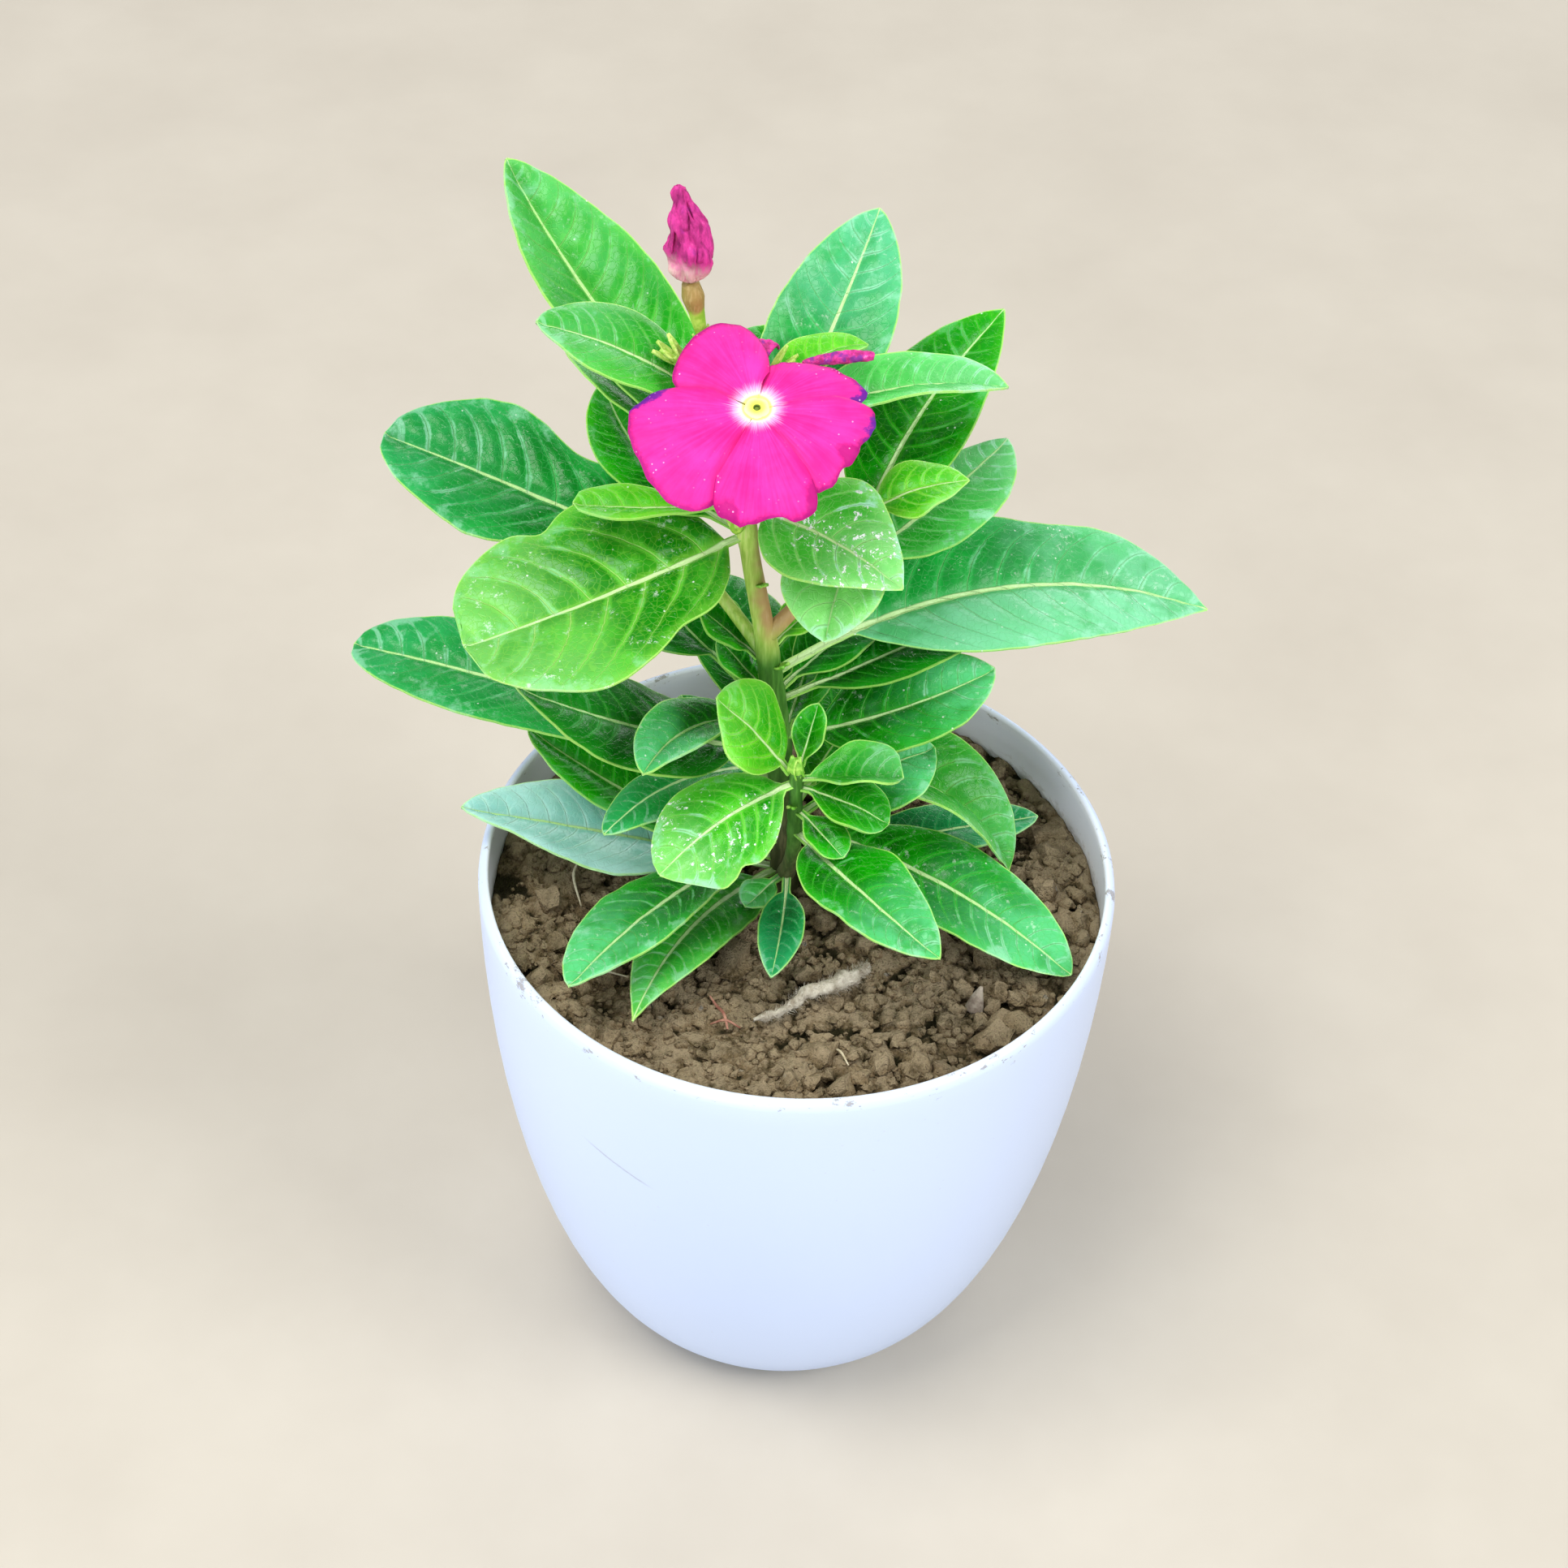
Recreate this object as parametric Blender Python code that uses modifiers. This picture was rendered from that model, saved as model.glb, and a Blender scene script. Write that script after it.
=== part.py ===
# Potted Madagascar periwinkle: a white plastic pot of soil holding one bushy flowering plant.
# Units are metres, +Z is up, the origin is the centre of the pot's flat underside, and the
# open flower leans towards -Y. Lengths in the tables below are in millimetres.

import math

import bmesh
import bpy
from mathutils import Vector, noise

MM = 0.001
GAP = 0.3  # clear space left between pieces that touch

# Pot
POT_HEIGHT = 120.0
RIM_RADIUS = 65.0
BASE_RADIUS = 35.9
WALL = 2.0
FLOOR = 2.6
POT_SIDES = 48

# Soil
SOIL_TOP = 108.0
SOIL_RINGS = 8
CLOD_SIZES = ((26.0, 1.5), (12.0, 1.7))  # spacing and height of the clods
HOLE_RADIUS = 3.6
HOLE_DEPTH = 9.0

# Blades
BLADE = 0.7
LEAF_ROWS = 7
LEAF_COLUMNS = 4
STALK_WIDTH = 1.7

# Stems: points from the foot up, and the radius at the foot and at the top
STEMS = {
    "main": ([(-2, 5.5, 100), (-3, 6, 125), (-5, 5.5, 150), (-8, 5, 175), (-12, 5, 200),
              (-13, 7, 216), (-13, 8, 230)], 2.9, 1.5),
    "left": ([(-7.5, 5, 171), (-14, 8, 179), (-20.5, 12, 186), (-23.6, 15, 191), (-25.6, 17.5, 196)], 1.5, 0.9),
    "right": ([(-7.6, 5, 177), (-2, 6, 184), (4, 7, 191), (8, 7, 198), (9, 7, 206)], 1.7, 1.0),
    "front": ([(-3, 5, 111), (-2, -4, 122), (-1, -10, 134), (-1, -12, 146), (-1, -12, 157)], 1.8, 1.2),
}
BUD = ([(-1, -12, 156), (-1.1, -12.1, 158), (-1.4, -12.2, 161)], (1.0, 1.3, 0.5))  # on the front shoot's tip

# Leaves. at: height of the joint on its stem. turn: heading seen from above, in degrees from +X.
# rise: slope at the joint, and droop: how far that slope falls by the tip. swing: sideways bend.
# roll: tilt about the midrib. fold: V of the two halves. full and blunt shape the outline.
LEAVES = {}


def leaf(name, stem, at, turn, long, wide, rise, droop, swing=0, roll=0, fold=12, full=0.8, blunt=0.7,
         stalk=0.12, wave=0.4):
    LEAVES[name] = dict(stem=stem, at=at, turn=turn, long=long, wide=wide, rise=rise, droop=droop,
                        swing=swing, roll=roll, fold=fold, full=full, blunt=blunt, stalk=stalk, wave=wave)


# the crown, round the open flower
leaf("crown_back_left", "main", 214, 136, 76, 28.7, 17, -23, swing=-5, roll=-2, fold=30, full=0.66, blunt=0.75, stalk=0.1)
leaf("crown_back_right", "main", 209, 58, 61, 23.9, 37, 8, swing=13, roll=-10, fold=11, full=0.74, blunt=0.77, stalk=0.1)
leaf("crown_left", "main", 226, 166, 41, 20.3, 36, 24, swing=18, roll=3, fold=10, full=0.83, blunt=0.69)
leaf("crown_under_left", "main", 207, 138, 46, 15.3, 27, 20, swing=6, roll=-13, fold=20, full=0.85, blunt=0.6)
leaf("crown_young_left", "main", 224.5, -155, 18, 12, 14, 20, fold=18, stalk=0.1)
leaf("crown_young_right", "main", 228, 45, 28, 10.5, 31, 59, swing=-10, roll=3, fold=20, full=0.7, blunt=0.79)
leaf("crown_right", "main", 221, 32, 51, 14.8, 15, 30, swing=-24, roll=-5, fold=31, full=0.82, blunt=0.75)
# just under the crown
leaf("back_left", "main", 202, 153, 44, 17.1, 9, -6, swing=-46, roll=5, fold=9, full=0.79, blunt=0.78)
leaf("back_mid", "main", 205, 88, 46, 19, 22, 20, fold=14)
leaf("fore_left", "main", 201, -157, 55, 41.2, -15, -10, swing=2, roll=8, full=0.44, blunt=0.36, stalk=0.05)
leaf("fore_right", "main", 208, -31, 33, 25.9, 8, 38, swing=2, roll=-11, full=0.63, blunt=0.96, stalk=0.08)
# left side shoot
leaf("left_big", "left", 187, 161, 65, 31.2, 13, 5, roll=12, fold=16, full=0.61, blunt=0.52, stalk=0.08)
leaf("left_young", "main", 208, -172, 30, 10.7, 1, -2, swing=-6, roll=-2, fold=15, full=0.89, blunt=0.41, stalk=0.1)
# right side shoot
leaf("right_back", "right", 199, 72, 58, 23.2, 23, 5, swing=-24, roll=-4, full=0.61, blunt=0.85, stalk=0.1)
leaf("right_young", "right", 206, 23, 20, 14.5, 29, 32, swing=-21, roll=-4, fold=7, full=0.61, blunt=0.96)
leaf("right_low", "right", 190, 41, 49, 20.2, 9, 3, swing=13, roll=3, fold=-10, full=0.78, blunt=0.68)
leaf("right_hanging", "right", 200, -105, 23, 21.9, 5, 55, swing=2, roll=-11, fold=20, full=0.75, blunt=0.8, stalk=0.08)
# middle of the main stem
leaf("long_right", "main", 167, 32, 93, 34.4, 15, 41, swing=-28, roll=-13, fold=13, full=0.79, blunt=0.99, stalk=0.17)
leaf("right_dark", "main", 160, 18, 45, 19, 18, 20, swing=18)
leaf("right_teal", "main", 162, 44, 26, 15, 20, 12)
leaf("right_upright", "main", 148, 68, 23, 14, 48, 15, fold=16)
leaf("mid_bright", "main", 174, 40, 11, 9, 33, 15, fold=16)
leaf("mid_right", "main", 151, -10, 43, 23.2, 23, 7, swing=36, roll=-12, fold=15, full=0.76, blunt=0.76)
leaf("mid_left_fold", "main", 171, 164, 15, 12, 44, 15, fold=16)
leaf("mid_left_up", "main", 162, 151, 13, 11, 46, 15, fold=16)
leaf("mid_front_left", "main", 155, -148, 40, 14.9, 34, 37, swing=41, roll=4, fold=25, full=0.77, blunt=0.68, stalk=0.1)
leaf("low_left_hidden", "main", 158, 150, 34, 20, 30, 25, swing=-20, fold=10, full=0.7, stalk=0.4)
leaf("low_front_left", "main", 142, -161, 40, 12.9, 18, 35, swing=36, roll=-5, fold=-4, full=0.78, blunt=0.71, stalk=0.1)
leaf("low_left_long", "main", 137, 165, 91, 26.2, 14, 20, swing=-4, roll=6, fold=15, blunt=0.51)
leaf("low_left", "main", 147, 202, 59, 25, 25, -13, swing=-5, roll=9, fold=5, full=0.72, blunt=0.86)
leaf("low_left_thin", "main", 116, 183, 57, 16.7, 26, 6, swing=-32, roll=6, fold=18, full=0.69, blunt=0.68)
leaf("low_left_pale", "main", 113, 180, 65, 23.6, 15, 1, swing=6, roll=1, fold=17, full=0.7, blunt=0.75)
leaf("low_back", "main", 140, 104, 56, 22, 18, 30, swing=8, fold=10)
leaf("low_back_right", "main", 126, 64, 58, 21, 14, 24, swing=-8, fold=10)
# the short front shoot, a rosette of broad young leaves
leaf("rosette_left", "front", 157, 170, 22, 20.6, 57, 17, swing=8, roll=13, fold=8, full=0.84, blunt=0.75, stalk=0.08)
leaf("rosette_tiny", "front", 158, 65, 12, 6.5, 60, 10, fold=16, stalk=0.1)
leaf("rosette_right", "front", 155, 0, 16, 16, 8, 10, fold=40, full=0.9, blunt=0.5, stalk=0.08)
leaf("rosette_left_front", "front", 154, -155, 31, 22.7, -9, 22, swing=19, roll=13, fold=-9, full=0.67, blunt=0.69, stalk=0.05)
leaf("rosette_right_front", "front", 153, -15, 18, 15, 0, 34, swing=1, full=0.7, blunt=0.6, stalk=0.08)
leaf("rosette_low", "front", 147, -48, 13, 9, 0, 25, fold=14, blunt=0.6, stalk=0.1)
leaf("rosette_right_side", "front", 145, 34, 30, 21, 17, 16, swing=-9, roll=-7, fold=5, full=0.84, blunt=0.69, stalk=0.1)
# low leaves spreading over the soil
leaf("base_front_left", "main", 122, -141, 61, 19.8, 6, 4, swing=24, roll=-13, fold=11, full=0.91, blunt=0.75, stalk=0.1)
leaf("base_soil_left", "main", 114, -144, 51, 16, 12, 18, swing=32, roll=-4, fold=6, full=0.55, blunt=1.1, stalk=0.1)
leaf("base_front_small", "front", 121, -90, 25, 9.9, 6, 29, swing=-11, roll=3, fold=20, full=0.75, blunt=0.8, stalk=0.14)
leaf("base_front_tiny", "front", 120, -130, 10, 8, 5, 25, fold=14, stalk=0.14)
leaf("base_front_right", "front", 141, -60, 44, 19.3, 12, 22, swing=18, roll=-2, fold=13, full=0.61, blunt=0.79, stalk=0.1)
leaf("base_right_long", "main", 126, -19, 64, 21.6, -1, 24, swing=-14, roll=-8, fold=13, full=0.67)
leaf("base_right_back", "main", 136, 10, 54, 26.4, 18, 91, swing=-38, roll=3, fold=32, full=0.72, blunt=1.03)
leaf("base_back_right", "main", 112, 17, 52, 15, 11, 18, fold=8)
leaf("base_back", "main", 115, 118, 48, 17, 14, 22, fold=8)

# Flower: five petals on a disc, tilted towards the front
FLOWER_CENTRE = (-11.0, -3.0, 237.0)
FLOWER_TILT = 18.0
PETAL_THICK = 0.7
PETALS = (  # heading, length from the centre, half width
    (106, 23.5, 9.0), (30, 21.5, 9.0), (331, 22.5, 9.8), (270, 22.8, 9.0), (198, 23.0, 12.0))
TUBE = ([(-13.6, 3.0, 205), (-14.3, 0.6, 207), (-14.4, -0.4, 213), (-13.0, -1.6, 224), (-11.2, -2.6, 235.4)],
        (1.0, 1.3, 1.1, 1.2, 1.7))

# A spent flower above the crown, and another behind the open one
SPENT_TUBE = ([(-14.6, 9.8, 230), (-18.5, 15, 232.5), (-21.4, 17, 237), (-23, 16.8, 244.4), (-24, 17, 249)],
              (1.0, 1.2, 1.3, 2.0, 1.5))
SPENT_LIMB_FOOT = (-24.1, 17.0, 249.4)
SPENT_LIMB_TOP = (-25.8, 18.0, 268.4)
SPENT_LIMB_RADIUS = 3.4
ROLLED_PETAL = ([(-3.2, 12.6, 236.0), (1, 13.6, 236.4), (5.5, 14.8, 236.3), (9.6, 16, 235.8)], (0.7, 1.0, 1.2, 1.0))
CURLED_PETAL = ((-10.4, 17.8, 235.8), 2.4)
DROPPED_CUPS = (([(-17.6, 13.8, 232), (-21, 13, 233)], (-25, 11.6, 235.3), (-28.6, 11.8, 239.3)),
                ([(-15.2, 10.3, 230.6), (-12, 12, 231.5)], (-9.2, 13, 232.2), (-5.2, 14.2, 236.2)))

# A dry twig lying on the soil
TWIG = (((-7.5, -36.5), (-1, -32), (5, -28.5), (10, -24), (15, -21)), (0.8, 1.3, 1.7, 1.6, 0.9))

COLOURS = {  # base colour, roughness
    "pot_plastic": ((0.80, 0.84, 0.93), 0.3),
    "soil": ((0.14, 0.09, 0.05), 0.95),
    "stem": ((0.32, 0.30, 0.10), 0.55),
    "leaf_young": ((0.16, 0.42, 0.03), 0.35),
    "leaf_old": ((0.03, 0.27, 0.06), 0.35),
    "leaf_pale": ((0.25, 0.50, 0.38), 0.4),
    "petal": ((0.90, 0.04, 0.36), 0.5),
    "petal_spent": ((0.42, 0.03, 0.20), 0.7),
    "cup": ((0.45, 0.55, 0.12), 0.5),
    "twig": ((0.50, 0.45, 0.36), 0.9),
}
YOUNG = ("young", "rosette", "bright", "tiny", "fore_", "crown_left", "small")
PALE = ("pale", "base_back_right", "hanging")


def material(name):
    found = bpy.data.materials.get(name)
    if found:
        return found
    colour, roughness = COLOURS[name]
    made = bpy.data.materials.new(name)
    made.use_nodes = True
    shader = made.node_tree.nodes["Principled BSDF"]
    shader.inputs["Base Color"].default_value = (*colour, 1)
    shader.inputs["Roughness"].default_value = roughness
    shader.inputs["Metallic"].default_value = 0
    return made


def mesh_object(name, bm, finish):
    """A new object in the plant's collection, its mesh facing out."""
    bmesh.ops.recalc_face_normals(bm, faces=bm.faces)
    mesh = bpy.data.meshes.new(name)
    bm.to_mesh(mesh)
    bm.free()
    mesh.materials.append(material(finish))
    obj = bpy.data.objects.new(name, mesh)
    plant.objects.link(obj)
    return obj


def smooth_path(points, steps):
    """Catmull-Rom points through the given ones, ends included."""
    knots = [Vector(p) for p in points]
    knots = [2 * knots[0] - knots[1], *knots, 2 * knots[-1] - knots[-2]]
    path = []
    for a, b, c, d in zip(knots, knots[1:], knots[2:], knots[3:]):
        for k in range(steps):
            t = k / steps
            path.append(0.5 * (2 * b + (c - a) * t + (2 * a - 5 * b + 4 * c - d) * t * t
                               + (3 * b - a - 3 * c + d) * t ** 3))
    return [*path, knots[-2]]


def between(values, t):
    """The value at t, from 0 to 1, along evenly spaced values."""
    place = min(max(t, 0), 1) * (len(values) - 1)
    low = min(int(place), len(values) - 2)
    return values[low] + (values[low + 1] - values[low]) * (place - low)


def tube(name, points, radii, finish, steps=3):
    """A solid tube along the points, its caps closed, as a mesh."""
    curve = bpy.data.curves.new(name, "CURVE")
    curve.dimensions = "3D"
    curve.bevel_depth = MM
    curve.bevel_resolution = 2
    curve.use_fill_caps = True
    path = smooth_path(points, steps)
    spline = curve.splines.new("POLY")
    spline.points.add(len(path) - 1)
    for k, (point, spot) in enumerate(zip(spline.points, path)):
        point.co = (*(spot * MM), 1)
        point.radius = between(radii, k / (len(path) - 1))
    guide = bpy.data.objects.new(name + "_line", curve)
    plant.objects.link(guide)
    bpy.context.view_layer.update()
    solid = bpy.data.meshes.new_from_object(guide.evaluated_get(bpy.context.evaluated_depsgraph_get()))
    bpy.data.objects.remove(guide)
    bm = bmesh.new()
    bm.from_mesh(solid)
    bmesh.ops.remove_doubles(bm, verts=bm.verts, dist=0.00001)
    obj = mesh_object(name, bm, finish)
    obj.data.shade_smooth()
    return obj


def fuse(name, pieces, solver="EXACT"):
    """One closed body from several that overlap. The first keeps its name and finish."""
    group = bpy.data.collections.new(name + "_parts")
    bpy.context.scene.collection.children.link(group)
    whole = pieces[0]
    for piece in pieces[1:]:
        plant.objects.unlink(piece)
        group.objects.link(piece)
    union = whole.modifiers.new("Union", "BOOLEAN")
    union.operation = "UNION"
    union.operand_type = "COLLECTION"
    union.collection = group
    union.solver = solver
    bpy.context.view_layer.update()
    joined = bpy.data.meshes.new_from_object(whole.evaluated_get(bpy.context.evaluated_depsgraph_get()))
    whole.modifiers.clear()
    whole.data = joined
    whole.name = name
    for piece in list(group.objects):
        bpy.data.objects.remove(piece)
    bpy.data.collections.remove(group)
    return whole


# Pot

def pot_radius(z):
    """Outside radius at a height: a rounded swell that straightens towards the rim."""
    x = min(max(z / POT_HEIGHT, 0), 1)
    return BASE_RADIUS + (RIM_RADIUS - BASE_RADIUS) * (1 - (1 - x) ** 2) ** 0.6


def make_pot():
    outer = [(pot_radius(POT_HEIGHT * h), POT_HEIGHT * h) for h in (0.99, 0.78, 0.56, 0.38, 0.24, 0.12, 0.04, 0.0)]
    lip = [(RIM_RADIUS - WALL * w, POT_HEIGHT - WALL * d) for w, d in ((0.95, 0.5), (0.7, 0.1), (0.3, 0.1))]
    inner = [(pot_radius(z) - WALL, z) for z in (FLOOR, 14.0, 34.0, 60.0, 92.0)]
    profile = [*lip[1:], *outer, (0, 0), (0, FLOOR), *inner, lip[0]]
    bm = bmesh.new()
    rows = [bm.verts.new((r * MM, 0, z * MM)) for r, z in profile]
    for a, b in zip(rows, [*rows[1:], rows[0]]):
        if a.co.x or b.co.x:
            bm.edges.new((a, b))
    mesh = bpy.data.meshes.new("pot")
    bm.to_mesh(mesh)
    bm.free()
    mesh.materials.append(material("pot_plastic"))
    pot = bpy.data.objects.new("pot", mesh)
    plant.objects.link(pot)
    turn = pot.modifiers.new("Turn", "SCREW")
    turn.steps = turn.render_steps = POT_SIDES
    turn.use_merge_vertices = True
    turn.merge_threshold = 0.00001
    turn.use_smooth_shade = True
    return pot


# Soil

def soil_height(x, y):
    """Height of the soil at a spot, in millimetres, with its clods."""
    z = SOIL_TOP
    for size, height in CLOD_SIZES:
        near = noise.voronoi(Vector((x / size, y / size, size)))[0][0]
        z += height * (math.sqrt(max(0, 1 - (near / 0.75) ** 2)) - 0.55)
    return z + 0.6 * noise.noise(Vector((x / 9, y / 9, 4)))


def make_soil():
    bm = bmesh.new()

    def ring(radius, height=None):
        verts = []
        for k in range(POT_SIDES):
            a = 2 * math.pi * k / POT_SIDES
            x, y = radius * math.cos(a), radius * math.sin(a)
            verts.append(bm.verts.new((x * MM, y * MM, (soil_height(x, y) if height is None else height) * MM)))
        return verts

    def skin(low, high):
        for k in range(POT_SIDES):
            n = (k + 1) % POT_SIDES
            bm.faces.new((low[k], low[n], high[n], high[k]))

    def fan(verts, z):
        centre = bm.verts.new((0, 0, z * MM))
        for k in range(POT_SIDES):
            bm.faces.new((verts[k], verts[(k + 1) % POT_SIDES], centre))

    clear = WALL + 2 * GAP
    sides = [ring(pot_radius(z) - clear, z) for z in (FLOOR + GAP, 14.0, 34.0, 60.0, 92.0)]
    top = pot_radius(SOIL_TOP) - clear
    tops = [ring(top * (1 - k / SOIL_RINGS)) for k in range(SOIL_RINGS)]
    for low, high in zip([*sides, *tops], [*sides[1:], *tops]):
        skin(low, high)
    fan(sides[0], FLOOR + GAP)
    fan(tops[-1], soil_height(0, 0))
    bmesh.ops.triangulate(bm, faces=bm.faces)
    soil = mesh_object("soil", bm, "soil")

    foot = STEMS["main"][0][0]
    bpy.ops.mesh.primitive_cylinder_add(vertices=24, radius=HOLE_RADIUS * MM, depth=0.02,
                                        location=(foot[0] * MM, foot[1] * MM, (SOIL_TOP - HOLE_DEPTH + 10) * MM))
    hole = bpy.context.object
    hole.name = "stem_hole"
    for home in list(hole.users_collection):
        home.objects.unlink(hole)
    cutters.objects.link(hole)
    hole.hide_render = True
    hole.display_type = "WIRE"
    cut = soil.modifiers.new("Stem hole", "BOOLEAN")
    cut.operation = "DIFFERENCE"
    cut.object = hole
    return soil


def make_twig():
    spots, radii = TWIG
    points = [(x, y, soil_height(x, y) + r + 1.1) for (x, y), r in zip(spots, radii)]
    return tube("dry_twig", points, radii, "twig", steps=3)


# Stems and leaves

def stem_side(stem, z, out):
    """The spot just clear of the stem's skin at a height, on the side that faces out."""
    points, foot, top = STEMS[stem]
    path = smooth_path(points, 6)
    k = next((k for k in range(1, len(path)) if path[k].z >= z), len(path) - 1)
    a, b = path[k - 1], path[k]
    spot = a.lerp(b, (z - a.z) / (b.z - a.z))
    radius = foot + (top - foot) * (z - path[0].z) / (path[-1].z - path[0].z)
    along = (b - a).normalized()
    lean = along.dot(out)
    return spot + out * (radius / math.sqrt(1 - lean * lean) + GAP + 0.1 + max(0, 0.6 * lean / along.z))


def make_stem():
    pieces = [tube("stem_" + name, points, (foot, top), "stem", steps=2 if name == "main" else 3)
              for name, (points, foot, top) in STEMS.items()]
    pieces.append(tube("stem_bud", BUD[0], BUD[1], "stem", steps=2))
    return fuse("stem", pieces)


def heading(turn, slope):
    a, e = math.radians(turn), math.radians(slope)
    return Vector((math.cos(a) * math.cos(e), math.sin(a) * math.cos(e), math.sin(e)))


def leaf_midrib(d, rows):
    """Midrib points, and the way along at each."""
    out = heading(d["turn"], 0)
    spot = stem_side(d["stem"], d["at"], out) + out * (0.5 * BLADE * abs(math.sin(math.radians(d["rise"]))))
    points, ways = [spot.copy()], []
    fine = 4
    for k in range(rows * fine + 1):
        t = k / (rows * fine)
        way = heading(d["turn"] + d["swing"] * t, d["rise"] - d["droop"] * t ** 1.3)
        if k % fine == 0:
            ways.append(way)
        if k == rows * fine:
            break
        spot = spot + way * (d["long"] / rows / fine)
        if (k + 1) % fine == 0:
            points.append(spot.copy())
    return points, ways


def leaf_half_width(d, t):
    """Half the blade's width at t along the leaf, with the slim stalk at its foot."""
    u = min(max((t - d["stalk"]) / (1 - d["stalk"]), 0), 1)
    widest = d["full"] / (d["full"] + d["blunt"])
    blade = (u / widest) ** d["full"] * ((1 - u) / (1 - widest)) ** d["blunt"] * d["wide"] / 2
    return max(blade, STALK_WIDTH / 2 if t < 0.5 else 0.4)


def make_leaf(name, d):
    points, ways = leaf_midrib(d, LEAF_ROWS)
    bm = bmesh.new()
    bmesh.ops.create_grid(bm, x_segments=LEAF_ROWS, y_segments=LEAF_COLUMNS, size=1)
    for vert in bm.verts:
        row = round((vert.co.x + 1) / 2 * LEAF_ROWS)
        side = vert.co.y
        t = row / LEAF_ROWS
        way = ways[row]
        turn = math.radians(d["turn"] + d["swing"] * t)
        across = Vector((math.sin(turn), -math.cos(turn), 0))
        up = across.cross(way)
        lean = math.radians(d["roll"])
        across, up = across * math.cos(lean) + up * math.sin(lean), up * math.cos(lean) - across * math.sin(lean)
        half = leaf_half_width(d, t)
        fold = math.radians(d["fold"])
        lift = abs(side) * half * math.sin(fold) - 0.08 * half * side * side
        ripple = math.sin(2 * math.pi * (2 * t + (0.35 if side < 0 else 0)))
        lift += d["wave"] * side * side * ripple * min(1, 4 * t * (1 - t) + 0.2) * min(1, half / 3)
        vert.co = (points[row] + across * (side * half * math.cos(fold)) + up * lift) * MM
    bmesh.ops.triangulate(bm, faces=bm.faces)
    finish = "leaf_old"
    if any(word in name for word in YOUNG):
        finish = "leaf_young"
    if any(word in name for word in PALE):
        finish = "leaf_pale"
    blade = mesh_object("leaf_" + name, bm, finish)
    thick = blade.modifiers.new("Blade", "SOLIDIFY")
    thick.thickness = BLADE * MM
    thick.offset = 0
    return blade


# Flower

def petal_solid(name, heading_deg, length, half, lift, finish="petal"):
    """One petal: a broad fan blade, one side a little higher so that it overlaps its neighbour."""
    bm = bmesh.new()
    bmesh.ops.create_grid(bm, x_segments=7, y_segments=4, size=1)
    turn = math.radians(heading_deg)
    tilt = math.radians(FLOWER_TILT)
    for vert in bm.verts:
        t, side = (vert.co.x + 1) / 2, vert.co.y
        reach = 1.2 + (length - 1.2) * t
        reach -= 0.16 * length * side * side * t * t
        wide = half * (0.16 + 0.84 * math.sin(math.pi * min(t, 0.9) / 1.8) ** 0.9) * (1 if t < 0.95 else 0.72)
        across = side * wide
        height = lift * side * t + 0.9 * math.sin(math.pi * t) - 1.2 * t * t
        flat = Vector((reach * math.cos(turn) - across * math.sin(turn),
                       reach * math.sin(turn) + across * math.cos(turn), height))
        leaned = Vector((flat.x, flat.y * math.cos(tilt) - flat.z * -math.sin(tilt),
                         flat.y * math.sin(tilt) + flat.z * math.cos(tilt)))
        vert.co = (leaned + Vector(FLOWER_CENTRE)) * MM
    bmesh.ops.triangulate(bm, faces=bm.faces)
    petal = mesh_object(name, bm, finish)
    thick = petal.modifiers.new("Petal", "SOLIDIFY")
    thick.thickness = PETAL_THICK * MM
    thick.offset = 0
    bpy.context.view_layer.update()
    petal.data = bpy.data.meshes.new_from_object(petal.evaluated_get(bpy.context.evaluated_depsgraph_get()))
    petal.modifiers.clear()
    return petal


def make_flower():
    bpy.ops.mesh.primitive_cylinder_add(vertices=20, radius=2.6 * MM, depth=1.1 * MM,
                                        location=[c * MM for c in FLOWER_CENTRE],
                                        rotation=(math.radians(FLOWER_TILT), 0, 0))
    eye = bpy.context.object
    eye.name = "flower_eye"
    bpy.ops.object.transform_apply(location=True, rotation=True, scale=True)
    for home in list(eye.users_collection):
        home.objects.unlink(eye)
    plant.objects.link(eye)
    eye.data.materials.append(material("petal"))
    petals = [petal_solid(f"petal_{k}", *p, lift=1.5) for k, p in enumerate(PETALS)]
    fuse("flower_petals", [eye, *petals])

    points, radii = TUBE
    body = tube("flower_tube", points, radii, "cup", steps=3)
    foot = Vector(points[1])
    sepals = []
    for k in range(5):
        a = 2 * math.pi * k / 5
        out = Vector((math.cos(a), math.sin(a), 0))
        line = [foot + out * 0.9, foot + out * 2.0 + Vector((0, 0, 2)), foot + out * 2.5 + Vector((0, 0, 4.5))]
        sepals.append(tube(f"sepal_{k}", line, (0.6, 0.5, 0.32), "cup", steps=1))
    fuse("flower_tube", [body, *sepals])


def dropped_cup(name, stalk, foot, tip):
    """The pieces of a small cup whose petals have dropped: its stalk and five narrow points."""
    foot, tip = Vector(foot), Vector(tip)
    way = (tip - foot).normalized()
    side = way.orthogonal().normalized()
    pieces = [tube(name, [*stalk, foot, foot.lerp(tip, 0.5)], (0.7, 0.8, 1.1, 1.2), "cup", steps=1)]
    for k in range(5):
        a = 2 * math.pi * k / 5
        out = side * math.cos(a) + way.cross(side) * math.sin(a)
        line = [foot.lerp(tip, 0.35) + out * 0.7, foot.lerp(tip, 0.75) + out * 1.2, tip + out * 1.9]
        pieces.append(tube(f"{name}_{k}", line, (0.6, 0.5, 0.32), "cup", steps=1))
    return pieces


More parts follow.
